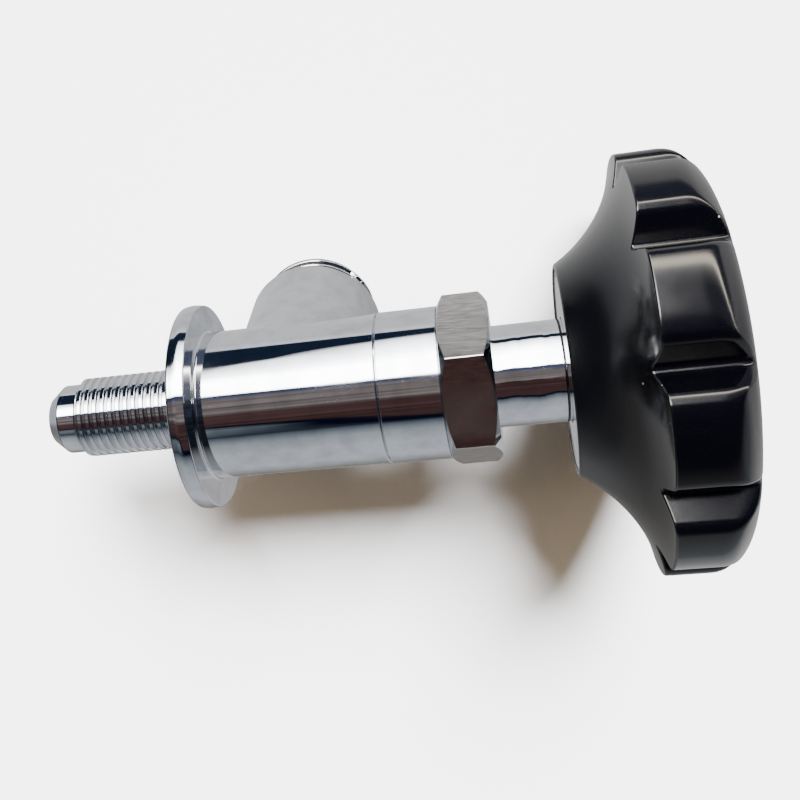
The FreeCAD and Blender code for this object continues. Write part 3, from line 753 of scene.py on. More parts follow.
@dataclass(frozen=True)
class Tee:
    """A round branch that leaves a round barrel at a right angle, in millimetres."""

    barrel_r: float
    branch_r: float
    blend: float
    branch_x: float
    inward: bool = False
    half_steps: int = 96

    @property
    def _half_turn(self) -> np.ndarray:
        """The angles round the branch from the barrel's one side to the other."""
        return np.linspace(-math.pi / 2, math.pi / 2, self.half_steps + 1)

    def branch_angles(self) -> np.ndarray:
        """The angles round the branch, from the barrel's one side to the other and back."""
        return np.linspace(-math.pi / 2, 3 * math.pi / 2, 2 * self.half_steps + 1)

    def barrel_angles(self) -> np.ndarray:
        """The angles round the barrel: its rows beside the branch, then the rest."""
        low = self._barrel_angle(self._half_turn)
        return np.concatenate([low, np.linspace(low[-1], low[0] + FULL_TURN, self.half_steps + 1)[1:]])

    def _barrel_angle(self, turn: np.ndarray) -> np.ndarray:
        """The angle round the barrel where the blend meets it."""
        return np.arcsin((self.branch_r + self.blend) * np.sin(turn) / (self.barrel_r + self.blend))

    def edge_depth(self, turn: np.ndarray) -> np.ndarray:
        """How far below the barrel's axis the blend meets the branch."""
        side = (self.branch_r + self.blend) * np.sin(turn)
        return np.sqrt((self.barrel_r + self.blend) ** 2 - side ** 2)

    def _add_wall(
        self, shell: Shell, axis: TurnAxis, station: np.ndarray, radius: float, angle: np.ndarray
    ) -> None:
        """Adds a patch of straight round wall.

        Args:
            shell: The mesh that gets it.
            axis: The wall's axis.
            station: The stations of its points.
            radius: Its radius.
            angle: The angles of its points.
        """
        sign = np.full_like(station, -1.0 if self.inward else 1.0)
        normals = axis.aim(np.zeros_like(station), sign, angle)
        shell.grid(axis.at(station, np.full_like(station, radius), angle), normals)

    def add_barrel(self, shell: Shell, axis: TurnAxis, span: tuple[float, float]) -> None:
        """Adds the barrel with the branch's hole in it.

        Args:
            shell: The mesh that gets it.
            axis: The barrel's axis.
            span: Its first and last station.
        """
        aside = (self.branch_r + self.blend) * np.cos(self._half_turn)
        shares = np.linspace(0.0, 1.0, 7)
        high = self.barrel_angles()[self.half_steps:]
        middle = np.full_like(high, self.branch_x)
        low = self._barrel_angle(self._half_turn)
        rows = ((low, self.branch_x - aside, self.branch_x + aside), (high, middle, middle))
        for angle, left, right in rows:
            for first, last in ((np.full_like(left, span[0]), left), (right, np.full_like(right, span[1]))):
                station = first[:, None] + shares[None, :] * (last - first)[:, None]
                turn = np.broadcast_to(angle[:, None], station.shape)
                self._add_wall(shell, axis, station, self.barrel_r, turn)

    def add_blend(self, shell: Shell) -> None:
        """Adds the rolled blend between barrel and branch."""
        turn = self.branch_angles()
        reach = self.branch_r + self.blend
        drop = self.edge_depth(turn)
        side = np.sin(turn)
        centre = np.stack([self.branch_x + reach * np.cos(turn), reach * side, -drop], -1)
        share = self.barrel_r / (self.barrel_r + self.blend)
        on_barrel = np.stack([centre[:, 0], reach * side * share, -drop * share], -1)
        on_branch = [self.branch_x + self.branch_r * np.cos(turn), self.branch_r * side, -drop]
        first = (on_barrel - centre) / self.blend
        last = (np.stack(on_branch, -1) - centre) / self.blend
        opening = np.arccos(np.clip((first * last).sum(-1), -1, 1))[:, None]
        safe = np.maximum(np.sin(opening), SMALLEST)
        rows = []
        for t in np.linspace(0.0, 1.0, 9):
            mixed = (1 - t) * first + t * last
            if t not in (0.0, 1.0):
                mixed = (np.sin((1 - t) * opening) * first + np.sin(t * opening) * last) / safe
            rows.append(mixed / np.linalg.norm(mixed, axis=-1, keepdims=True))
        ways = np.stack(rows)
        shell.grid(centre[None] + self.blend * ways, -ways)

    def add_branch(self, shell: Shell, axis: TurnAxis, end: float) -> None:
        """Adds the branch's straight wall.

        Args:
            shell: The mesh that gets it.
            axis: The branch's axis.
            end: How far below the barrel's axis the wall ends.
        """
        turn = self.branch_angles()
        shares = np.linspace(0.0, 1.0, 5)[:, None]
        station = self.edge_depth(turn)[None, :] * (1 - shares) + end * shares
        self._add_wall(shell, axis, station, self.branch_r, np.broadcast_to(turn, station.shape))


@dataclass(frozen=True)
class BodyForging:
    """Nipple, flange, barrel and outlet boss, in millimetres."""

    tip_x: float = -24.7
    tip_r: float = 3.9
    tip_round: float = 0.25
    cone_x: float = -22.5
    cone_round: float = 0.5
    pilot_r: float = 5.7
    thread_x: float = -19.6
    thread_phase: float = 0.35
    lead_len: float = 0.7
    collar_w: float = 0.5
    flange_t: float = 3.0
    flange_r: float = 16.75
    flange_round: float = 0.5
    flange_edge: float = 0.22
    flange_crown: float = 0.22
    crown_round: float = 3.0
    barrel_r: float = 12.0
    mouth_x: float = 31.5
    seam_bevel: float = 0.1
    seam_round: float = 0.06
    seam_gap: float = 0.12
    seam_depth: float = 0.65
    seam_step: float = 0.05
    outlet_x: float = 17.4
    boss_r: float = 11.9
    boss_blend: float = 1.2
    shoulder: float = 25.0
    shoulder_bevel: float = 0.5
    shoulder_round: float = 0.2
    shoulder_edge: float = 0.1
    relief_r: float = 9.2
    relief_len: float = 1.3
    outlet_end: float = 32.0
    outlet_lead: float = 0.9
    outlet_phase: float = 0.5
    outlet_bore_r: float = 7.0
    outlet_bore_top: float = 24.0
    outlet_bore_round: float = 0.3
    passage_r: float = 3.8
    chamber_r: float = 8.2
    chamber_x: float = 9.5
    chamber_lip: float = 0.02
    thread_bore_x: float = 21.3
    thread_bore_r: float = 9.5
    gasket_x: float = 30.5
    gasket_r: float = 11.0
    seat_bore_x: float = 4.5
    seat_bore_r: float = 5.5
    inlet_bore_r: float = 3.0
    bore_bevel: float = 0.4
    edge_w: float = 0.1
    inlet_thread: PipeThread = PipeThread(6.5785, 1.337, land=0.22)
    outlet_thread: PipeThread = PipeThread(10.4775, 1.814)

    def build(self, chrome: bpy.types.Material) -> None:
        """Makes the body's mesh and dresses it.

        Args:
            chrome: Its finish.
        """
        shell = Shell()
        self._outside(shell)
        self._inside(shell)
        self._outlet(shell)
        dress(shell.build("body_forging"), chrome, RidesOn.HOUSING, "valve_body")

    @property
    def outer(self) -> Tee:
        """The barrel with the outlet boss."""
        return Tee(self.barrel_r, self.boss_r, self.boss_blend, self.outlet_x)

    @property
    def inner(self) -> Tee:
        """The chamber with the passage to the outlet."""
        return Tee(self.chamber_r, self.passage_r, 0.0, self.outlet_x, inward=True, half_steps=48)

    @property
    def seam_rim_r(self) -> float:
        """Outer radius of the ring that the bonnet's collar is tightened against."""
        return self.barrel_r - self.seam_depth - self.seam_step

    def _outside(self, shell: Shell) -> None:
        """Adds nipple, flange, barrel and the blend of the boss.

        Args:
            shell: The mesh that gets them.
        """
        around = self.outer.barrel_angles()
        crest_r = self.inlet_thread.crest_r
        shell.turned(VALVE_AXIS, [
            (self.tip_x, self.tip_r - self.tip_round, 0), (self.tip_x, self.tip_r, self.tip_round),
            (self.cone_x, self.pilot_r, self.cone_round), (self.thread_x, self.pilot_r, 0),
        ], around)
        ends = ((self.pilot_r, (crest_r - self.pilot_r) / self.lead_len), (crest_r, 0.0))
        span = (self.thread_x, 0.0)
        last_r = shell.threaded(VALVE_AXIS, self.inlet_thread, span, ends, around, 1.0, self.thread_phase)
        face_r = crest_r + self.collar_w
        shell.flat_ring(VALVE_AXIS, 0.0, (around, last_r), (around, face_r), -1.0)
        edge_r = self.flange_r - self.flange_crown
        start = self.flange_t + self.flange_round
        shell.turned(VALVE_AXIS, [
            (0.0, face_r, 0), (0.0, edge_r, self.flange_round),
            (self.flange_t / 2, self.flange_r, self.crown_round), (self.flange_t, edge_r, self.flange_edge),
            (self.flange_t, self.barrel_r, self.flange_round), (start, self.barrel_r, 0),
        ], around)
        lip = self.mouth_x - self.seam_gap
        stop = lip - self.seam_bevel - self.edge_w
        self.outer.add_barrel(shell, VALVE_AXIS, (start, stop))
        slot_r = self.barrel_r - self.seam_depth
        shell.turned(VALVE_AXIS, [
            (stop, self.barrel_r, 0), (lip - self.seam_bevel, self.barrel_r, self.seam_round),
            (lip, self.barrel_r - self.seam_bevel, self.seam_round), (lip, slot_r, 0),
            (self.mouth_x, slot_r, 0), (self.mouth_x, self.seam_rim_r, 0),
        ], around)
        self.outer.add_blend(shell)

    def _inside(self, shell: Shell) -> None:
        """Adds the inlet bore, the seat's recess, the chamber and the bonnet's thread bore.

        Args:
            shell: The mesh that gets them.
        """
        around, edge = self.inner.barrel_angles(), self.outer.barrel_angles()
        shell.flat_ring(VALVE_AXIS, self.mouth_x, (around, self.gasket_r), (edge, self.seam_rim_r), 1.0)
        chamber_end = self.thread_bore_x - self.chamber_lip
        shell.turned(VALVE_AXIS, [
            (self.mouth_x, self.gasket_r, 0), (self.gasket_x, self.gasket_r, 0),
            (self.gasket_x, self.thread_bore_r, 0), (self.thread_bore_x, self.thread_bore_r, 0),
            (self.thread_bore_x, self.chamber_r, 0), (chamber_end, self.chamber_r, 0),
        ], around)
        self.inner.add_barrel(shell, VALVE_AXIS, (self.chamber_x, chamber_end))
        rim_r = self.inlet_bore_r + self.bore_bevel
        shell.turned(VALVE_AXIS, [
            (self.chamber_x, self.chamber_r, 0), (self.chamber_x, self.seat_bore_r, 0),
            (self.seat_bore_x, self.seat_bore_r, 0), (self.seat_bore_x, self.inlet_bore_r, 0),
            (self.tip_x + self.bore_bevel, self.inlet_bore_r, 0), (self.tip_x, rim_r, 0),
            (self.tip_x, rim_r + self.edge_w, 0),
        ], around)
        outer_edge = (edge, self.tip_r - self.tip_round)
        shell.flat_ring(VALVE_AXIS, self.tip_x, (around, rim_r + self.edge_w), outer_edge, -1.0)

    def _outlet(self, shell: Shell) -> None:
        """Adds the boss, the threaded spigot and the outlet's bores.

        Args:
            shell: The mesh that gets them.
        """
        axis = TurnAxis((self.outlet_x, 0, 0), (0, 0, -1), (1, 0, 0), (0, 1, 0))
        around = self.outer.branch_angles()
        relief_end = self.shoulder + self.relief_len
        start = self.shoulder - 2 * self.shoulder_bevel
        self.outer.add_branch(shell, axis, start)
        shell.turned(axis, [
            (start, self.boss_r, 0), (self.shoulder - self.shoulder_bevel, self.boss_r, self.shoulder_round),
            (self.shoulder, self.boss_r - self.shoulder_bevel, self.shoulder_edge),
            (self.shoulder, self.relief_r, self.shoulder_round), (relief_end, self.relief_r, 0),
        ], around)
        thread = self.outlet_thread
        ends = ((self.relief_r, 1.0), (thread.crest_r - self.outlet_lead, 1.0))
        span = (relief_end, self.outlet_end)
        last_r = shell.threaded(axis, thread, span, ends, around, -1.0, self.outlet_phase)
        around_bore = self.inner.branch_angles()
        rim_r = self.outlet_bore_r + self.bore_bevel
        shell.flat_ring(axis, self.outlet_end, (around_bore, rim_r), (around, last_r), 1.0)
        shell.turned(axis, [
            (self.outlet_end, rim_r, 0), (self.outlet_end - self.bore_bevel, self.outlet_bore_r, 0),
            (self.outlet_bore_top, self.outlet_bore_r, self.outlet_bore_round),
            (self.outlet_bore_top, self.passage_r, 0),
        ], around_bore)
        self.inner.add_branch(shell, axis, self.outlet_bore_top)


@dataclass(frozen=True)
class Bonnet:
    """Collar, hexagon and neck, turned from one hexagon bar, in millimetres."""

    shank_x: float = 22.3
    shank_r: float = 9.47
    shank_bevel: float = 0.7
    mouth_x: float = 31.5
    collar_r: float = 12.1
    seam_bevel: float = 0.1
    seam_round: float = 0.06
    seam_gap: float = 0.12
    seam_depth: float = 0.75
    hex_x: float = 41.0
    hex_end_x: float = 49.0
    hex_flats: float = 24.3
    hex_end_r: float = 11.95
    hex_bevel: float = math.radians(30.0)
    hex_turn: float = math.radians(-15.2)
    hex_corner: float = 0.28
    hex_edge: float = 0.05
    neck_r: float = 8.0
    neck_end_x: float = 64.9
    neck_bevel: float = 0.4
    end_lean: float = 0.2
    edge_round: float = 0.1
    drive_bore_r: float = 6.05
    relief_bore_r: float = 6.6
    relief_x: float = 33.8
    web_x: float = 38.9
    web_end_x: float = 44.3
    stem_bore_r: float = 4.05
    packing_bore_r: float = 6.1
    columns: int = 192

    def build(self, polished: bpy.types.Material, drawn: bpy.types.Material) -> None:
        """Makes the bonnet's two meshes and dresses them.

        Args:
            polished: The finish where it is turned.
            drawn: The finish of the hexagon's flats.
        """
        turning = self._turning().build("bonnet_turning")
        dress(turning, polished, RidesOn.HOUSING, "bonnet")
        hexagon = self._hexagon().build("bonnet_hexagon")
        hexagon.data.materials.append(drawn)
        dress(hexagon, polished, RidesOn.HOUSING, "bonnet")
        for face in hexagon.data.polygons:
            face.material_index = 1 if abs(face.normal.x) > self.end_lean else 0

    def _turning(self) -> Shell:
        """The collar, the neck and the bores."""
        shell = Shell()
        seam_r = self.collar_r - self.seam_depth
        lip = self.mouth_x + self.seam_gap
        neck_rim = (self.neck_end_x, self.neck_r - self.neck_bevel, self.edge_round)
        shell.turned(VALVE_AXIS, [
            (self.shank_x, self.drive_bore_r, 0), (self.shank_x, self.shank_r - self.shank_bevel, 0),
            (self.shank_x + self.shank_bevel, self.shank_r, 0), (self.mouth_x, self.shank_r, 0),
            (self.mouth_x, seam_r, 0), (lip, seam_r, 0),
            (lip, self.collar_r - self.seam_bevel, self.seam_round),
            (lip + self.seam_bevel, self.collar_r, self.seam_round),
            (self.hex_x, self.collar_r, self.edge_round), (self.hex_x, self.neck_r, 0),
            (self.neck_end_x - self.neck_bevel, self.neck_r, self.edge_round), neck_rim,
            (self.neck_end_x, self.packing_bore_r, 0), (self.web_end_x, self.packing_bore_r, 0),
            (self.web_end_x, self.stem_bore_r, 0), (self.web_x, self.stem_bore_r, 0),
            (self.web_x, self.relief_bore_r, 0), (self.relief_x, self.relief_bore_r, 0),
            (self.relief_x, self.drive_bore_r, 0), (self.shank_x, self.drive_bore_r, 0),
        ], np.linspace(0, FULL_TURN, self.columns + 1))
        return shell

    def _outline(self) -> np.ndarray:
        """The hexagon's outline with its corners rounded.

        Returns:
            Angle and radius of each point round the valve axis, and the angle its side faces.
        """
        rows = []
        half = math.pi / 6
        flat = self.hex_flats / 2
        corner_r = (flat - self.hex_corner) / math.cos(half)
        reach = flat * math.tan(half) - self.hex_corner * math.tan(half)
        for side in range(6):
            middle = math.pi / 2 + self.hex_turn + (2 * side + 1) * half
            for s in np.linspace(-reach, reach, 13):
                rows.append((middle + math.atan2(s, flat), math.hypot(s, flat), middle))
            for turn in np.linspace(-half, half, 7)[1:-1]:
                x = corner_r + self.hex_corner * math.cos(turn)
                y = self.hex_corner * math.sin(turn)
                rows.append((middle + half + math.atan2(y, x), math.hypot(x, y), middle + half + turn))
        angle, radius, facing = rows[0]
        rows.append((angle + FULL_TURN, radius, facing + FULL_TURN))
        return np.array(rows).T

    def _hexagon(self) -> Shell:
        """The hexagon with both ends turned to a bevel."""
        shell = Shell()
        angle, radius, facing = self._outline()
        slope, edge = math.tan(self.hex_bevel), self.hex_edge
        lean, rise = math.cos(self.hex_bevel), math.sin(self.hex_bevel)
        bevel = (radius - self.hex_end_r) * slope
        one = np.ones_like(radius)
        inner, rim = one * self.neck_r, one * self.hex_end_r
        rows = []
        for end, way in ((self.hex_x, 1.0), (self.hex_end_x, -1.0)):
            half_rows = [
                (one * end, inner, -way * one, 0 * one, angle),
                (one * end, rim - edge, -way * one, 0 * one, angle),
                (end + way * edge * slope * one, rim + edge, -way * lean * one, rise * one, angle),
                (end + way * (bevel - edge * slope), radius - edge, -way * lean * one, rise * one, angle),
                (end + way * (bevel + edge), radius, 0 * one, one, facing),
            ]
            rows += half_rows if way > 0 else half_rows[::-1]
        rows.append((one * self.hex_x, inner, 0 * one, -one, angle))
        stations, radii, along, out, towards = (np.stack(column) for column in zip(*rows))
        turn = np.broadcast_to(angle, stations.shape)
        shell.grid(VALVE_AXIS.at(stations, radii, turn), VALVE_AXIS.aim(along, out, towards))
        return shell


@dataclass(frozen=True)
class LobedKnob:
    """The ten-lobed knob with its trumpet-shaped back, in millimetres."""

    hub_x: float = 59.7
    front_x: float = 83.1
    hub_r: float = 16.45
    hub_round: float = 0.4
    flare_r: float = 21.4
    flare_start: float = math.radians(29.7)
    lobes: int = 10
    crown_r: float = 32.2
    valley_r: float = 27.0
    valley_round: float = 0.8
    lobe_turn: float = math.radians(25.1)
    face_w: float = 12.8
    face_crown: float = 1.1
    shoulder_round: float = 2.5
    back_edge: float = 0.28
    parting_x: float = 71.4
    parting_height: float = 0.04
    parting_width: float = 0.16
    front_round: float = 8.0
    front_oversize: float = 0.7
    front_tilt: float = math.radians(15.0)
    front_fall: float = 1.1
    front_rows: int = 17
    run_up: tuple[float, ...] = (3.2, 2.6, 2.0, 1.4, 0.8, 0.3)
    steepest: float = math.radians(65.0)
    crown_blend: float = 0.6
    valley_blend: float = 3.0
    dish_r: float = 21.5
    dish_depth: float = 1.7
    dish_rise: float = 0.5
    dish_run: float = 3.0
    dish_round: float = 6.0
    lip_fall: float = 0.1
    lip_w: float = 0.8
    lip_round: float = 1.2
    cap_r: float = 14.0
    cap_seat: float = 1.6
    cap_seat_round: float = 0.15
    hub_edge: float = 0.05
    plate_r: float = 15.83
    plate_x: float = 59.9
    plate_t: float = 1.4
    cup_r: float = 11.93
    cup_end_x: float = 67.03
    core_r: float = 8.69
    core_end_x: float = 73.8
    pocket_r: float = 10.0

    def build(self, phenolic: bpy.types.Material) -> None:
        """Makes the knob's mesh and dresses it.

        Args:
            phenolic: Its finish.
        """
        shell = Shell()
        outline, facing = self._outline()
        self._back(shell, outline)
        self._lobes(shell, outline, facing)
        self._front(shell, outline, facing)
        self._pockets(shell, outline)
        dress(shell.build("knob_moulding"), phenolic, RidesOn.HANDLE, "knob")

    def _half_lobe(self) -> tuple[np.ndarray, np.ndarray]:
        """Half of one lobe, from the middle of its crown to the bottom of the valley beside it.

        Returns:
            Points (height from the axis, distance aside), and the direction that each faces.
        """
        half = math.pi / self.lobes
        valley_way = np.array((math.cos(half), math.sin(half)))
        valley = self.valley_r * valley_way
        shoulder = np.array((self.crown_r - self.face_crown, self.face_w / 2))
        face_r = (shoulder[1] ** 2 + self.face_crown ** 2) / (2 * self.face_crown)
        face_c = np.array((self.crown_r - face_r, 0.0))
        flank = (shoulder - valley) / np.linalg.norm(shoulder - valley)
        outward = np.array((-flank[1], flank[0]))
        start = valley - self.shoulder_round * outward - face_c
        along = start @ flank
        inside = start @ start - (face_r - self.shoulder_round) ** 2
        round_c = face_c + start + (math.sqrt(along ** 2 - inside) - along) * flank
        face_end = math.atan2(round_c[1], round_c[0] - face_c[0])
        flank_turn = math.atan2(outward[1], outward[0])
        valley_c = valley + valley_way * self.valley_round / math.sin(math.acos(flank @ valley_way))
        top, foot = round_c + self.shoulder_round * outward, valley_c - self.valley_round * outward
        parts = [
            (face_c, face_r, np.linspace(0.0, face_end, 12)),
            (round_c, self.shoulder_round, np.linspace(face_end, flank_turn, 10)[1:]),
            (valley_c, -self.valley_round, np.linspace(flank_turn, half, 8)),
        ]
        points, facing = [], []
        for centre, reach, turns in parts:
            ways = np.stack([np.cos(turns), np.sin(turns)], -1)
            points.append(centre + reach * ways)
            facing.append(ways)
        shares = np.linspace(0.0, 1.0, 5)[1:-1, None]
        points.insert(2, top + shares * (foot - top))
        facing.insert(2, np.repeat(outward[None], len(shares), 0))
        return np.concatenate(points), np.concatenate(facing)

    def _outline(self) -> list[np.ndarray]:
        """The lobed outline seen along the valve.

        Returns:
            Points (y, z) once round, and the direction that each faces.
        """
        crowns = self.lobe_turn + (2 * np.arange(self.lobes) + 1) * math.pi / self.lobes
        spins = [np.array(((math.cos(a), math.sin(a)), (-math.sin(a), math.cos(a)))) for a in crowns]
        loops = []
        for half in self._half_lobe():
            pairs = np.concatenate([half[:0:-1] * np.array((1.0, -1.0)), half[:-1]])
            spun = [pairs @ spin for spin in spins]
            loops.append(np.concatenate([*spun, spun[0][:1]]))
        return loops

    @staticmethod
    def _raised(x: np.ndarray, flat: np.ndarray) -> np.ndarray:
        """Joins stations and (y, z) pairs into points."""
        return np.concatenate([np.broadcast_to(x, flat.shape[:-1])[..., None], flat], -1)

    @staticmethod
    def _round_off(first: np.ndarray, corner: np.ndarray, last: np.ndarray, t: float) -> np.ndarray:
        """A point on the small curve that rounds a corner off."""
        return (1 - t) ** 2 * first + 2 * t * (1 - t) * corner + t * t * last

    def _flare(self, radius: np.ndarray, ray: np.ndarray) -> tuple[np.ndarray, np.ndarray]:
        """The flared back at a radius.

        Args:
            radius: Distance from the axis.
            ray: The direction (y, z) away from the axis.

        Returns:
            Points, and the direction that each faces.
        """
        centre_x = self.hub_x - self.flare_r * math.sin(self.flare_start)
        centre_r = self.hub_r + self.flare_r * math.cos(self.flare_start)
        turn = np.arccos((centre_r - radius) / self.flare_r)
        points = self._raised(centre_x + self.flare_r * np.sin(turn), ray * radius[:, None])
        return points, self._raised(-np.sin(turn), ray * np.cos(turn)[:, None])

    def _back(self, shell: Shell, outline: np.ndarray) -> None:
        """Adds the flared back from the hub's rim to the lobes.

        Args:
            shell: The mesh that gets it.
            outline: The lobed outline.
        """
        radius = np.linalg.norm(outline, axis=1)
        ray = outline / radius[:, None]
        inner = self.hub_r + self.hub_round * math.sin(self.flare_start)
        reach = radius - self.back_edge - inner
        rows = [self._flare(inner + t * reach, ray) for t in np.linspace(0.0, 1.0, 25)]
        corner = self._raised(np.full_like(radius, self.hub_x), ray * self.hub_r)
        on_face = self._raised(np.full_like(radius, self.hub_x), ray * (self.hub_r - self.hub_round))
        flat = np.broadcast_to(np.array((-1.0, 0.0, 0.0)), on_face.shape)
        first, first_way = rows[0]
        for t in (0.25, 0.5, 0.75, 1.0):
            rows.insert(0, (self._round_off(first, corner, on_face, t), (1 - t) * first_way + t * flat))
        shell.grid(*(np.stack(column) for column in zip(*rows)))

    def _lobes(self, shell: Shell, outline: np.ndarray, facing: np.ndarray) -> None:
        """Adds the lobes' walls with their back edge and the mould's parting line.

        Args:
            shell: The mesh that gets them.
            outline: The lobed outline.
            facing: The direction that each of its points faces.
        """
        radius = np.linalg.norm(outline, axis=1)
        ray = outline / radius[:, None]
        corner, _ = self._flare(radius, ray)
        on_back, back_way = self._flare(radius - self.back_edge, ray)
        side_way = self._raised(np.zeros_like(radius), facing)
        on_side = self._raised(corner[:, 0] + self.back_edge, outline)
        rows = []
        for t in np.linspace(0.0, 1.0, 5):
            way = (1 - t) * back_way + t * side_way
            rows.append((self._round_off(on_back, corner, on_side, t), way))
        for shift in (-1, 0, 1):
            line_x = np.full_like(radius, self.parting_x + shift * self.parting_width)
            lift = self.parting_height * (1 - abs(shift))
            rows.append((self._raised(line_x, outline + lift * facing), side_way))
        end_x = np.full_like(radius, self._front_curve()[0][0])
        rows.append((self._raised(end_x, outline), side_way))
        shell.grid(*(np.stack(column) for column in zip(*rows)))

    def _front_curve(self) -> tuple[np.ndarray, np.ndarray, np.ndarray]:
        """The turned form of the front, from beside the lobes' crowns to the dish.

        Returns:
            Station, radius and angle from the axis at each row.
        """
        tilt = self.front_tilt
        centre_x = self.front_x - self.front_fall - self.front_round * math.cos(tilt)
        centre_r = self.crown_r + self.front_oversize - self.front_round
        lead = np.full(len(self.run_up), self.steepest)
        turn = np.concatenate([lead, np.linspace(self.steepest, tilt, self.front_rows)])
        ahead = np.concatenate([np.array(self.run_up), np.zeros(self.front_rows)])
        x = centre_x + self.front_round * np.cos(turn) - ahead * math.sin(self.steepest)
        r = centre_r + self.front_round * np.sin(turn) + ahead * math.cos(self.steepest)
        swell = tilt - math.atan2(self.front_fall, r[-1] - self.dish_r)
        face_r = math.hypot(self.front_fall, r[-1] - self.dish_r) / (2 * math.sin(swell))
        turns = np.linspace(tilt, tilt - 2 * swell, 7)[1:]
        face_x = x[-1] + face_r * (np.cos(turns) - math.cos(tilt))
        face_y = r[-1] - face_r * (math.sin(tilt) - np.sin(turns))
        return np.concatenate([x, face_x]), np.concatenate([r, face_y]), np.concatenate([turn, turns])

    def _front(self, shell: Shell, outline: np.ndarray, facing: np.ndarray) -> None:
        """Adds the rounded rim and the domed face, which the lobes' walls run into softly.

        Args:
            shell: The mesh that gets them.
            outline: The lobed outline.
            facing: The direction that each of its points faces.
        """
        wall = np.linalg.norm(outline, axis=1)
        ray = outline / wall[:, None]
        tangent = np.stack([-ray[:, 1], ray[:, 0]], -1)
        sideways = -(facing * tangent).sum(1) / (facing * ray).sum(1)
        x, form, turn = (a[:, None] for a in self._front_curve())
        fall = (self.valley_blend - self.crown_blend) / (self.crown_r - self.valley_r)
        blend = self.crown_blend + fall * (self.crown_r - wall)
        overlap = np.maximum(blend - np.abs(wall - form), 0.0) / blend
        radius = np.minimum(wall, form) - overlap ** 2 * blend / 4
        nearer = np.where(wall < form, 1 - overlap / 2, overlap / 2)
        softening = fall * (overlap > 0) * (blend ** 2 - (wall - form) ** 2) / (4 * blend ** 2)
        lean = (nearer + softening) * sideways * wall / radius
        points = self._raised(np.broadcast_to(x, radius.shape), ray * radius[..., None])
        normals = self._raised((1 - nearer) / np.tan(turn), ray - lean[..., None] * tangent)
        shell.grid(points, normals)

    def _pockets(self, shell: Shell, outline: np.ndarray) -> None:
        """Adds the hub's face, the pockets for the metal core and the dish in front.

        Args:
            shell: The mesh that gets them.
            outline: The lobed outline.
        """
        pocket_x = self.plate_x + self.plate_t
        dish_x = self.front_x - self.dish_depth
        seat_x = dish_x - self.cap_seat
        section = [
            (self.hub_x, self.hub_r - self.hub_round, 0), (self.hub_x, self.plate_r, self.hub_edge),
            (pocket_x, self.plate_r, 0), (pocket_x, self.cup_r, 0), (self.cup_end_x, self.cup_r, 0),
            (self.cup_end_x, self.core_r, 0), (self.core_end_x, self.core_r, 0),
            (self.core_end_x, self.pocket_r, 0), (seat_x, self.pocket_r, 0), (seat_x, self.cap_r, 0),
            (dish_x, self.cap_r, self.cap_seat_round),
            (dish_x + self.dish_rise, self.cap_r + self.dish_run, self.dish_round),
            (self.front_x - self.lip_fall, self.dish_r - self.lip_w, self.lip_round),
            (self.front_x, self.dish_r, 0),
        ]
        around = np.unwrap(np.arctan2(outline[:, 0], -outline[:, 1]))
        shell.turned(VALVE_AXIS, section[::-1], around)


@dataclass(frozen=True)
class KnobTrim:
    """The ring in the knob's back and its front cap, in millimetres."""

    plate_x: float = 59.9
    plate_t: float = 1.4
    plate_r: float = 15.8
    plate_round: float = 0.2
    groove_r: float = 14.8
    groove: float = 0.3
    edge_round: float = 0.05
    cup_r: float = 11.93
    cup_edge: float = 0.06
    cap_r: float = 13.95
    cap_edge: float = 0.2
    cap_dome: float = 1.0
    dome_round: float = 4.0
    dish_x: float = 81.4
    cap_seat: float = 1.6
    skirt_r: float = 9.95
    skirt_t: float = 0.9
    skirt_len: float = 3.2
    columns: int = 160

    def build(self, chrome: bpy.types.Material, black: bpy.types.Material) -> None:
        """Makes and dresses the ring and the cap.

        Args:
            chrome: The ring's finish.
            black: The cap's finish.
        """
        around = np.linspace(0, FULL_TURN, self.columns + 1)
        back = self.plate_x + self.plate_t
        plate = Shell()
        plate.turned(VALVE_AXIS, [
            (back, self.cup_r, 0), (self.plate_x, self.cup_r, self.cup_edge),
            (self.plate_x, self.groove_r - self.groove, self.edge_round),
            (self.plate_x + self.groove, self.groove_r, self.edge_round),
            (self.plate_x, self.groove_r + self.groove, self.edge_round),
            (self.plate_x, self.plate_r, self.plate_round), (back, self.plate_r, 0), (back, self.cup_r, 0),
        ], around)
        dress(plate.build("hub_ring"), chrome, RidesOn.HANDLE, "hub_back_plate")
        dome_r = (self.cap_r ** 2 + self.cap_dome ** 2) / (2 * self.cap_dome)
        section = [(self.dish_x + self.cap_dome, 0.0, 0)]
        for t in np.linspace(0.0, 1.0, 12)[1:]:
            turn = math.asin(self.cap_r / dome_r) * t
            x = self.dish_x + self.cap_dome - dome_r * (1 - math.cos(turn))
            section.append((x, dome_r * math.sin(turn), self.cap_edge if t == 1.0 else self.dome_round))
        seat = self.dish_x - self.cap_seat
        end, inside = seat - self.skirt_len, self.skirt_r - self.skirt_t
        section += [(seat, self.cap_r, 0), (seat, self.skirt_r, 0), (end, self.skirt_r, 0)]
        section += [(end, inside, 0), (seat, inside, 0), (seat, 0.0, 0)]
        cap = Shell()
        cap.turned(VALVE_AXIS, section[::-1], around)
        dress(cap.build("front_cap"), black, RidesOn.HANDLE, "knob_cap")


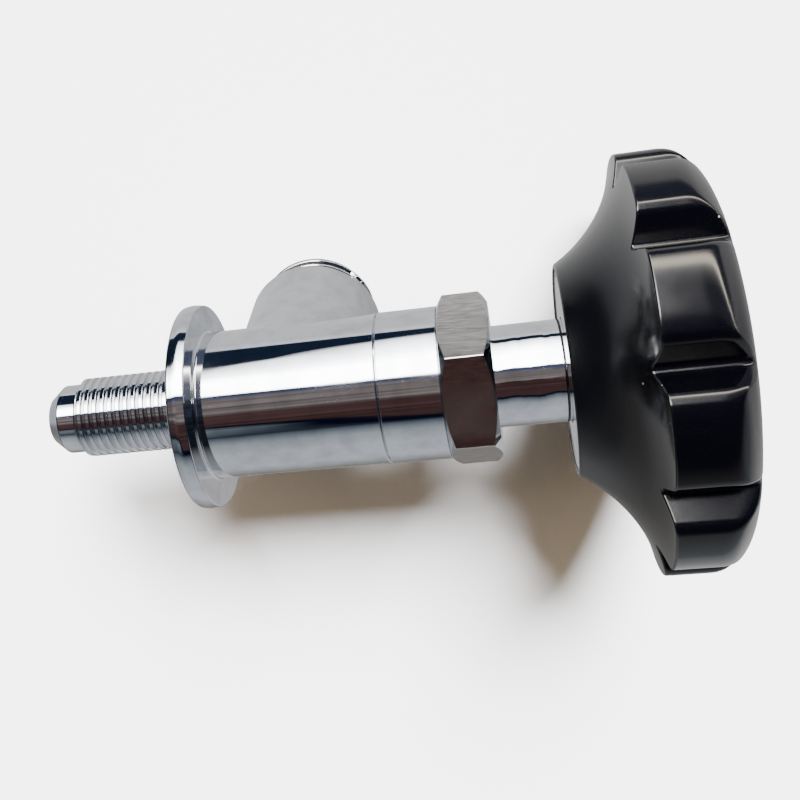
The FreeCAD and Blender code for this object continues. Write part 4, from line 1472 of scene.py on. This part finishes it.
class HiddenWorks:
    """The pieces inside, which keep their construction meshes and get real finishes."""

    PIECES = {
        PolishedChrome("chromed_turned_core"): ("hub_insert",),
        TurnedMetal("turned_brass", "#c9a35c", 0.28): (
            "seat_insert", "valve_plug", "packing_follower", "gland_nut", "packing_base_washer"
        ),
        MouldedSeal("white_ptfe", "#e6e4dd", "#f2f1ec", 0.45, 1.35): ("bonnet_gasket", "packing_rings"),
        TurnedMetal("drawn_spring_steel", "#a8a9ab", 0.30): ("packing_spring", "spring_washer", "plug_clip"),
        TurnedMetal("turned_stainless_steel", "#c2c1bd", 0.24): (
            "stem", "seal_washer", "seal_screw", "plain_washer", "knob_screw"
        ),
        MouldedSeal("moulded_seal_rubber", "#18181a", "#26262a", 0.62, 1.52): ("stem_o_ring", "seal_disc"),
    }

    def dress(self) -> None:
        """Puts each finish on the nodes that have it."""
        for finish, names in self.PIECES.items():
            material = finish.material()
            for name in names:
                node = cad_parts[name]
                node.data.materials.clear()
                node.data.materials.append(material)
                log.info("%s dressed in %s", name, material.name)


class Surrounding(Enum):
    """What the valve sees round itself in reflections: the colour and the brightness of each band of a
    painted, glowing room, with painted shade and glare among them.
    """

    PAPER = ("#d6d6d6", 1.35)
    NEAR_PAPER = ("#dcdde2", 1.7)
    SHADED_PAPER = ("#b8b6b8", 1.0)
    OWN_SHADOW = ("#908f8d", 1.0)
    WALL = ("#c4c7cc", 1.2)
    DIM_WALL = ("#a9b0b4", 1.1)
    # painted shade on the wall beside the dark room, darker than the lit wall
    SHADED_WALL = ("#525b66", 1.0)
    FAR_CORNER = ("#74767a", 1.0)
    DARK_WALL = ("#3c4052", 1.0)
    NIGHT_WALL = ("#20262f", 1.0)
    DARK_ROOM = ("#090e22", 1.0)
    SILL = ("#1e2a3e", 1.0)
    BLIND = ("#5c6478", 1.2)
    FRAME = ("#575e78", 1.0)
    GLARE = ("#f2f2f0", 3.0)
    WINDOW_EDGE = ("#fbfcff", 9.0)
    WINDOW = ("#fffffd", 20.0)
    WARM_WINDOW = ("#fff4e0", 12.0)
    SKY = ("#c0c4d2", 0.5)
    CURTAIN = ("#857b79", 1.0)
    DEEP_FOLDS = ("#4b3635", 1.0)


Room = tuple[tuple[Surrounding | float, ...], ...]


@dataclass(frozen=True)
class Studio:
    """The pale floor, the soft light, the painted reflection of a room and the camera.

    Each room is laid round the valve's axis: a surrounding, and the angle in degrees where it
    is seen, or the first and the last, 0 towards the window's side and 90 straight up.
    """

    eye_mm: Triple = (51.664, 87.022, 142.008)
    aim_mm: Triple = (23.007, 16.820, 0.0)
    up: Triple = (0.11435, 0.88120, -0.45870)
    lens_mm: float = 46.77
    sensor_mm: float = 36.0
    shift: tuple[float, float] = (0.1064, -0.1234)
    nearest_m: float = 0.01
    floor_tint: str = "#f1f1f2"
    floor_cloud_tint: str = "#f2f2f1"
    floor_cloud_mm: float = 60.0
    floor_roughness: float = 0.8
    floor_gloss: float = 0.2
    floor_half_mm: float = 6000.0
    floor_gap_mm: float = 0.02
    dome_r_mm: float = 3000.0
    backdrop_r_mm: float = 5900.0
    backdrop_strength: float = 6.3
    fill_tint: str = "#f4dcbc"
    fill_strength: float = 0.06
    key_from: Triple = (0.26, 0.79, 0.55)
    lamps: tuple[tuple[str, str, float, float], ...] = (
        ("window_light", "#fbfcff", 35.5, math.radians(21.0)),
        ("wall_light", "#ffe2c0", 2.0, math.radians(70.0)),
    )
    edge_wave: float = 5.0
    wave_lengths: tuple[float, float] = (7.0, 40.0)
    wave_span: tuple[float, float] = (0.25, 0.75)
    curtain_folds: float = 26.0
    curtain_span: tuple[float, float] = (0.35, 0.65)
    curtain_shades: tuple[float, float] = (0.55, 1.5)
    curtain_middle: float = 72.0
    curtain_reach: float = 27.0
    slant_limits: tuple[float, float] = (-0.32, 0.04)
    knob_fade: tuple[float, float] = (0.07, 0.14)
    far_fade: tuple[float, float] = (-0.45, -0.8)
    slant: tuple[tuple[float, float], ...] = (
        (-180.0, 0.0), (-29.0, 0.0), (-6.0, 75.0), (14.0, 92.0), (42.0, 0.0), (76.0, 0.0),
        (96.0, -72.0), (111.0, 0.0), (180.0, 0.0),
    )
    # Painted reflection bands for the body, the knob and the far side; the valve's own shadow, the shaded
    # paper and the wall's shade are painted into them.
    body_room: Room = (
        (Surrounding.WALL, -180.0), (Surrounding.OWN_SHADOW, -150.0, -137.0),
        (Surrounding.PAPER, -106.0, -42.0), (Surrounding.NEAR_PAPER, -32.5),
        (Surrounding.SILL, -31.0, -22.0), (Surrounding.GLARE, -20.0), (Surrounding.WINDOW_EDGE, -5.0),
        (Surrounding.WINDOW, 15.0, 43.0), (Surrounding.FRAME, 45.0, 51.0),
        (Surrounding.CURTAIN, 54.0, 72.0), (Surrounding.DEEP_FOLDS, 76.0, 106.0),
        (Surrounding.DARK_ROOM, 107.0, 110.5), (Surrounding.SHADED_WALL, 112.0),
        (Surrounding.DIM_WALL, 126.0), (Surrounding.WALL, 147.0),
    )
    knob_room: Room = (
        (Surrounding.WALL, -180.0), (Surrounding.PAPER, -150.0), (Surrounding.SHADED_PAPER, -120.0),
        (Surrounding.PAPER, -60.0, -44.0), (Surrounding.BLIND, -38.0, -10.0),
        (Surrounding.NEAR_PAPER, -6.5), (Surrounding.WARM_WINDOW, -3.0, 1.0), (Surrounding.GLARE, 6.0),
        (Surrounding.PAPER, 13.0), (Surrounding.SKY, 22.0, 43.0), (Surrounding.SHADED_WALL, 48.0),
        (Surrounding.DARK_WALL, 58.0), (Surrounding.NIGHT_WALL, 92.0, 122.0),
        (Surrounding.OWN_SHADOW, 140.0), (Surrounding.DIM_WALL, 165.0),
    )
    far_room: Room = (
        (Surrounding.OWN_SHADOW, -180.0, -152.0), (Surrounding.WALL, -130.0, -90.0),
        (Surrounding.DIM_WALL, -66.0), (Surrounding.NIGHT_WALL, -50.0, 100.0),
        (Surrounding.FAR_CORNER, 150.0),
    )

    def build(self) -> None:
        """Makes the whole studio."""
        self._camera()
        self._floor()
        self._daylight()
        self._painted_reflection_dome()
        self._backdrop()

    def _camera(self) -> None:
        """Stands the camera where the photograph was taken from."""
        data = bpy.data.cameras.new("camera")
        data.lens = self.lens_mm
        data.sensor_width = self.sensor_mm
        data.shift_x, data.shift_y = self.shift
        data.clip_start = self.nearest_m
        camera = bpy.data.objects.new("camera", data)
        bpy.context.scene.collection.objects.link(camera)
        eye = Vector(self.eye_mm) * MM
        back = (eye - Vector(self.aim_mm) * MM).normalized()
        right = Vector(self.up).cross(back).normalized()
        rotation = Matrix((right, back.cross(right), back)).transposed().to_4x4()
        camera.matrix_world = Matrix.Translation(eye) @ rotation
        bpy.context.scene.camera = camera

    def _floor(self) -> None:
        """Lays the pale floor under the valve's lowest point."""
        low = cad_box[0].z / MM - self.floor_gap_mm
        half = self.floor_half_mm
        mesh = bpy.data.meshes.new("floor")
        corners = ((-half, -half, low), (half, -half, low), (half, half, low), (-half, half, low))
        mesh.from_pydata([Vector(c) * MM for c in corners], [], [(0, 1, 2, 3)])
        floor = bpy.data.objects.new("floor", mesh)
        bpy.context.scene.collection.objects.link(floor)
        floor.visible_glossy = False
        material, tree = new_material("white_paper")
        clouds = speckle(tree, self.floor_cloud_mm, 3.0)
        tints = {"Factor": clouds, "A": srgb(self.floor_tint), "B": srgb(self.floor_cloud_tint)}
        tint = add_node(tree, "Mix", tints, out="Result", data_type="RGBA")
        gloss = {"Roughness": self.floor_roughness, "Specular IOR Level": self.floor_gloss}
        paper = {"Base Color": tint, **gloss}
        add_node(tree, "OutputMaterial", {"Surface": add_node(tree, "BsdfPrincipled", paper)})
        mesh.materials.append(material)

    def _daylight(self) -> None:
        """Lights the floor softly from the window's side, with a warm weak light from all round."""
        world = bpy.data.worlds.new("room_light")
        bpy.context.scene.world = world
        world.use_nodes = True
        tree = world.node_tree
        tree.nodes.clear()
        glow = add_node(tree, "Background", {"Color": srgb(self.fill_tint), "Strength": self.fill_strength})
        add_node(tree, "OutputWorld", {"Surface": glow})
        world.cycles_visibility.glossy = False
        for name, tint, strength, width in self.lamps:
            lamp = bpy.data.lights.new(name, "SUN")
            lamp.energy = strength
            lamp.angle = width
            lamp.color = srgb(tint)[:3]
            window = bpy.data.objects.new(name, lamp)
            window.rotation_euler = Vector(self.key_from).to_track_quat("Z", "Y").to_euler()
            window.visible_glossy = False
            bpy.context.scene.collection.objects.link(window)

    @staticmethod
    def _dome(name: str, radius_mm: float, seen_by: str) -> Tree:
        """Hangs a dome round the floor that gives the scene no light of its own.

        Args:
            name: The dome's name.
            radius_mm: Its radius.
            seen_by: The one kind of ray that meets it, camera or glossy.

        Returns:
            The node tree of its material, still empty.
        """
        bpy.ops.mesh.primitive_uv_sphere_add(segments=64, ring_count=32, radius=radius_mm * MM)
        dome = bpy.context.object
        dome.name = name
        for ray in ("camera", "diffuse", "glossy", "shadow", "transmission", "volume_scatter"):
            setattr(dome, f"visible_{ray}", ray == seen_by)
        material, tree = new_material(name)
        material.cycles.emission_sampling = "NONE"
        dome.data.materials.append(material)
        return tree

    def _backdrop(self) -> None:
        """Closes the view over the floor's edge with the same pale tone."""
        tree = self._dome("backdrop", self.backdrop_r_mm, "camera")
        links = {"Color": srgb(self.floor_tint), "Strength": self.backdrop_strength}
        add_node(tree, "OutputMaterial", {"Surface": add_node(tree, "Emission", links)})

    def _bands(self, tree: Tree, degrees: Socket, room: Room) -> Socket:
        """Colours that follow the angle round the valve.

        Args:
            tree: The tree that gets the nodes.
            degrees: The angle.
            room: What is seen there.

        Returns:
            The colour's socket.
        """
        share = add_node(tree, "MapRange", (degrees, -180.0, 180.0, 0.0, 1.0))
        colour = add_node(tree, "ValToRGB", (share,))
        bands = [(angle, seen.value) for seen, *angles in room for angle in angles]
        stops = colour.node.color_ramp.elements
        while len(stops) < len(bands):
            stops.new(1.0)
        for stop, (angle, (code, gain)) in zip(stops, bands):
            stop.position = (angle + 180.0) / 360.0
            stop.color = (*(c * gain for c in srgb(code)[:3]), 1.0)
        return colour

    def _leaning(self, tree: Tree, degrees: Socket, along: Socket) -> Socket:
        """Slants the room's edges, which aren't quite level with the valve, and makes them uneven.

        Args:
            tree: The tree that gets the nodes.
            degrees: The angle round the valve.
            along: The share of the direction that points along the valve.

        Returns:
            The socket that holds the changed angle.
        """
        share = add_node(tree, "MapRange", (degrees, -180.0, 180.0, 0.0, 1.0))
        lean = add_node(tree, "FloatCurve", {"Value": share})
        mapping = lean.node.mapping
        points = mapping.curves[0].points
        while len(points) < len(self.slant):
            points.new(1.0, 0.5)
        for point, (angle, amount) in zip(points, self.slant):
            point.location = ((angle + 180.0) / 360.0, 0.5 + amount / 200.0)
            point.handle_type = "VECTOR"
        mapping.update()
        amount = add_node(tree, "MapRange", (lean, 0.0, 1.0, -100.0, 100.0))
        near = add_node(tree, "Clamp", (along, *self.slant_limits))
        leaning = add_node(tree, "Math", (amount, near, degrees), operation="MULTIPLY_ADD")
        across = add_node(tree, "MapRange", (degrees, 0.0, 100.0, 0.0, self.wave_lengths[0]))
        length = add_node(tree, "MapRange", (along, 0.0, 1.0, 0.0, self.wave_lengths[1]))
        pane = add_node(tree, "CombineXYZ", (across, length))
        ripple = add_node(tree, "TexNoise", {"Vector": pane, "Scale": 1.0, "Detail": 3.0}, out="Fac")
        waves = (ripple, *self.wave_span, -self.edge_wave, self.edge_wave)
        uneven = add_node(tree, "MapRange", waves)
        return add_node(tree, "Math", (leaning, uneven), operation="ADD")

    def _folds(self, tree: Tree, degrees: Socket, along: Socket) -> Socket:
        """The light and dark folds of the curtain, and 1 everywhere else.

        Args:
            tree: The tree that gets the nodes.
            degrees: The angle round the valve.
            along: The share of the direction that points along the valve.

        Returns:
            The socket that holds the brightness.
        """
        across = add_node(tree, "MapRange", (degrees, 0.0, 100.0, 0.0, self.curtain_folds))
        folds = add_node(tree, "CombineXYZ", (across, along))
        curtain = add_node(tree, "TexNoise", {"Vector": folds, "Scale": 1.0, "Detail": 3.0}, out="Fac")
        width = (degrees, self.curtain_middle, self.curtain_reach)
        hangs = add_node(tree, "Math", width, operation="COMPARE")
        shade = add_node(tree, "MapRange", (curtain, *self.curtain_span, *self.curtain_shades))
        return add_node(tree, "Mix", {"Factor": hangs, "A": 1.0, "B": shade}, out="Result")

    def _painted_reflection_dome(self) -> None:
        """Hangs a glowing dome that only shows in reflections, a painted reflection of a room: paper,
        window, curtains and dark room, with painted shade and glare.
        """
        tree = self._dome("painted_reflection_dome", self.dome_r_mm, "glossy")
        place = add_node(tree, "TexCoord", out="Object")
        unit = add_node(tree, "VectorMath", (place,), operation="NORMALIZE")
        along = add_node(tree, "SeparateXYZ", {"Vector": unit}, out="X")
        parts = along.node.outputs
        roll = add_node(tree, "Math", (parts["Z"], parts["Y"]), operation="ARCTAN2")
        degrees = add_node(tree, "Math", (roll, math.degrees(1.0)), operation="MULTIPLY")
        whole = self._bands(tree, self._leaning(tree, degrees, along), self.body_room)
        for room, fade in ((self.knob_room, self.knob_fade), (self.far_room, self.far_fade)):
            share = add_node(tree, "MapRange", (along, *fade, 0.0, 1.0))
            both = {"Factor": share, "A": whole, "B": self._bands(tree, degrees, room)}
            whole = add_node(tree, "Mix", both, out="Result", data_type="RGBA")
        # the curtain's light and dark folds are painted into the dome's glow
        links = {"Color": whole, "Strength": self._folds(tree, degrees, along)}
        add_node(tree, "OutputMaterial", {"Surface": add_node(tree, "Emission", links)})


def main() -> None:
    """Builds the studio and the valve, piece by piece."""
    logging.basicConfig(level=logging.INFO, format="%(message)s")
    Studio().build()
    BodyForging().build(PolishedChrome("polished_chrome").material())
    Bonnet().build(
        PolishedChrome("polished_chrome_bonnet", wave_depth_mm=0.003).material(),
        DrawnChrome("drawn_chrome_flats").material(),
    )
    LobedKnob().build(MouldedPhenolic("black_moulded_phenolic").material())
    KnobTrim().build(
        PolishedChrome("polished_chrome_plate").material(), MouldedPhenolic("black_cap_phenolic").material()
    )
    HiddenWorks().dress()


if __name__ == "__main__":
    main()
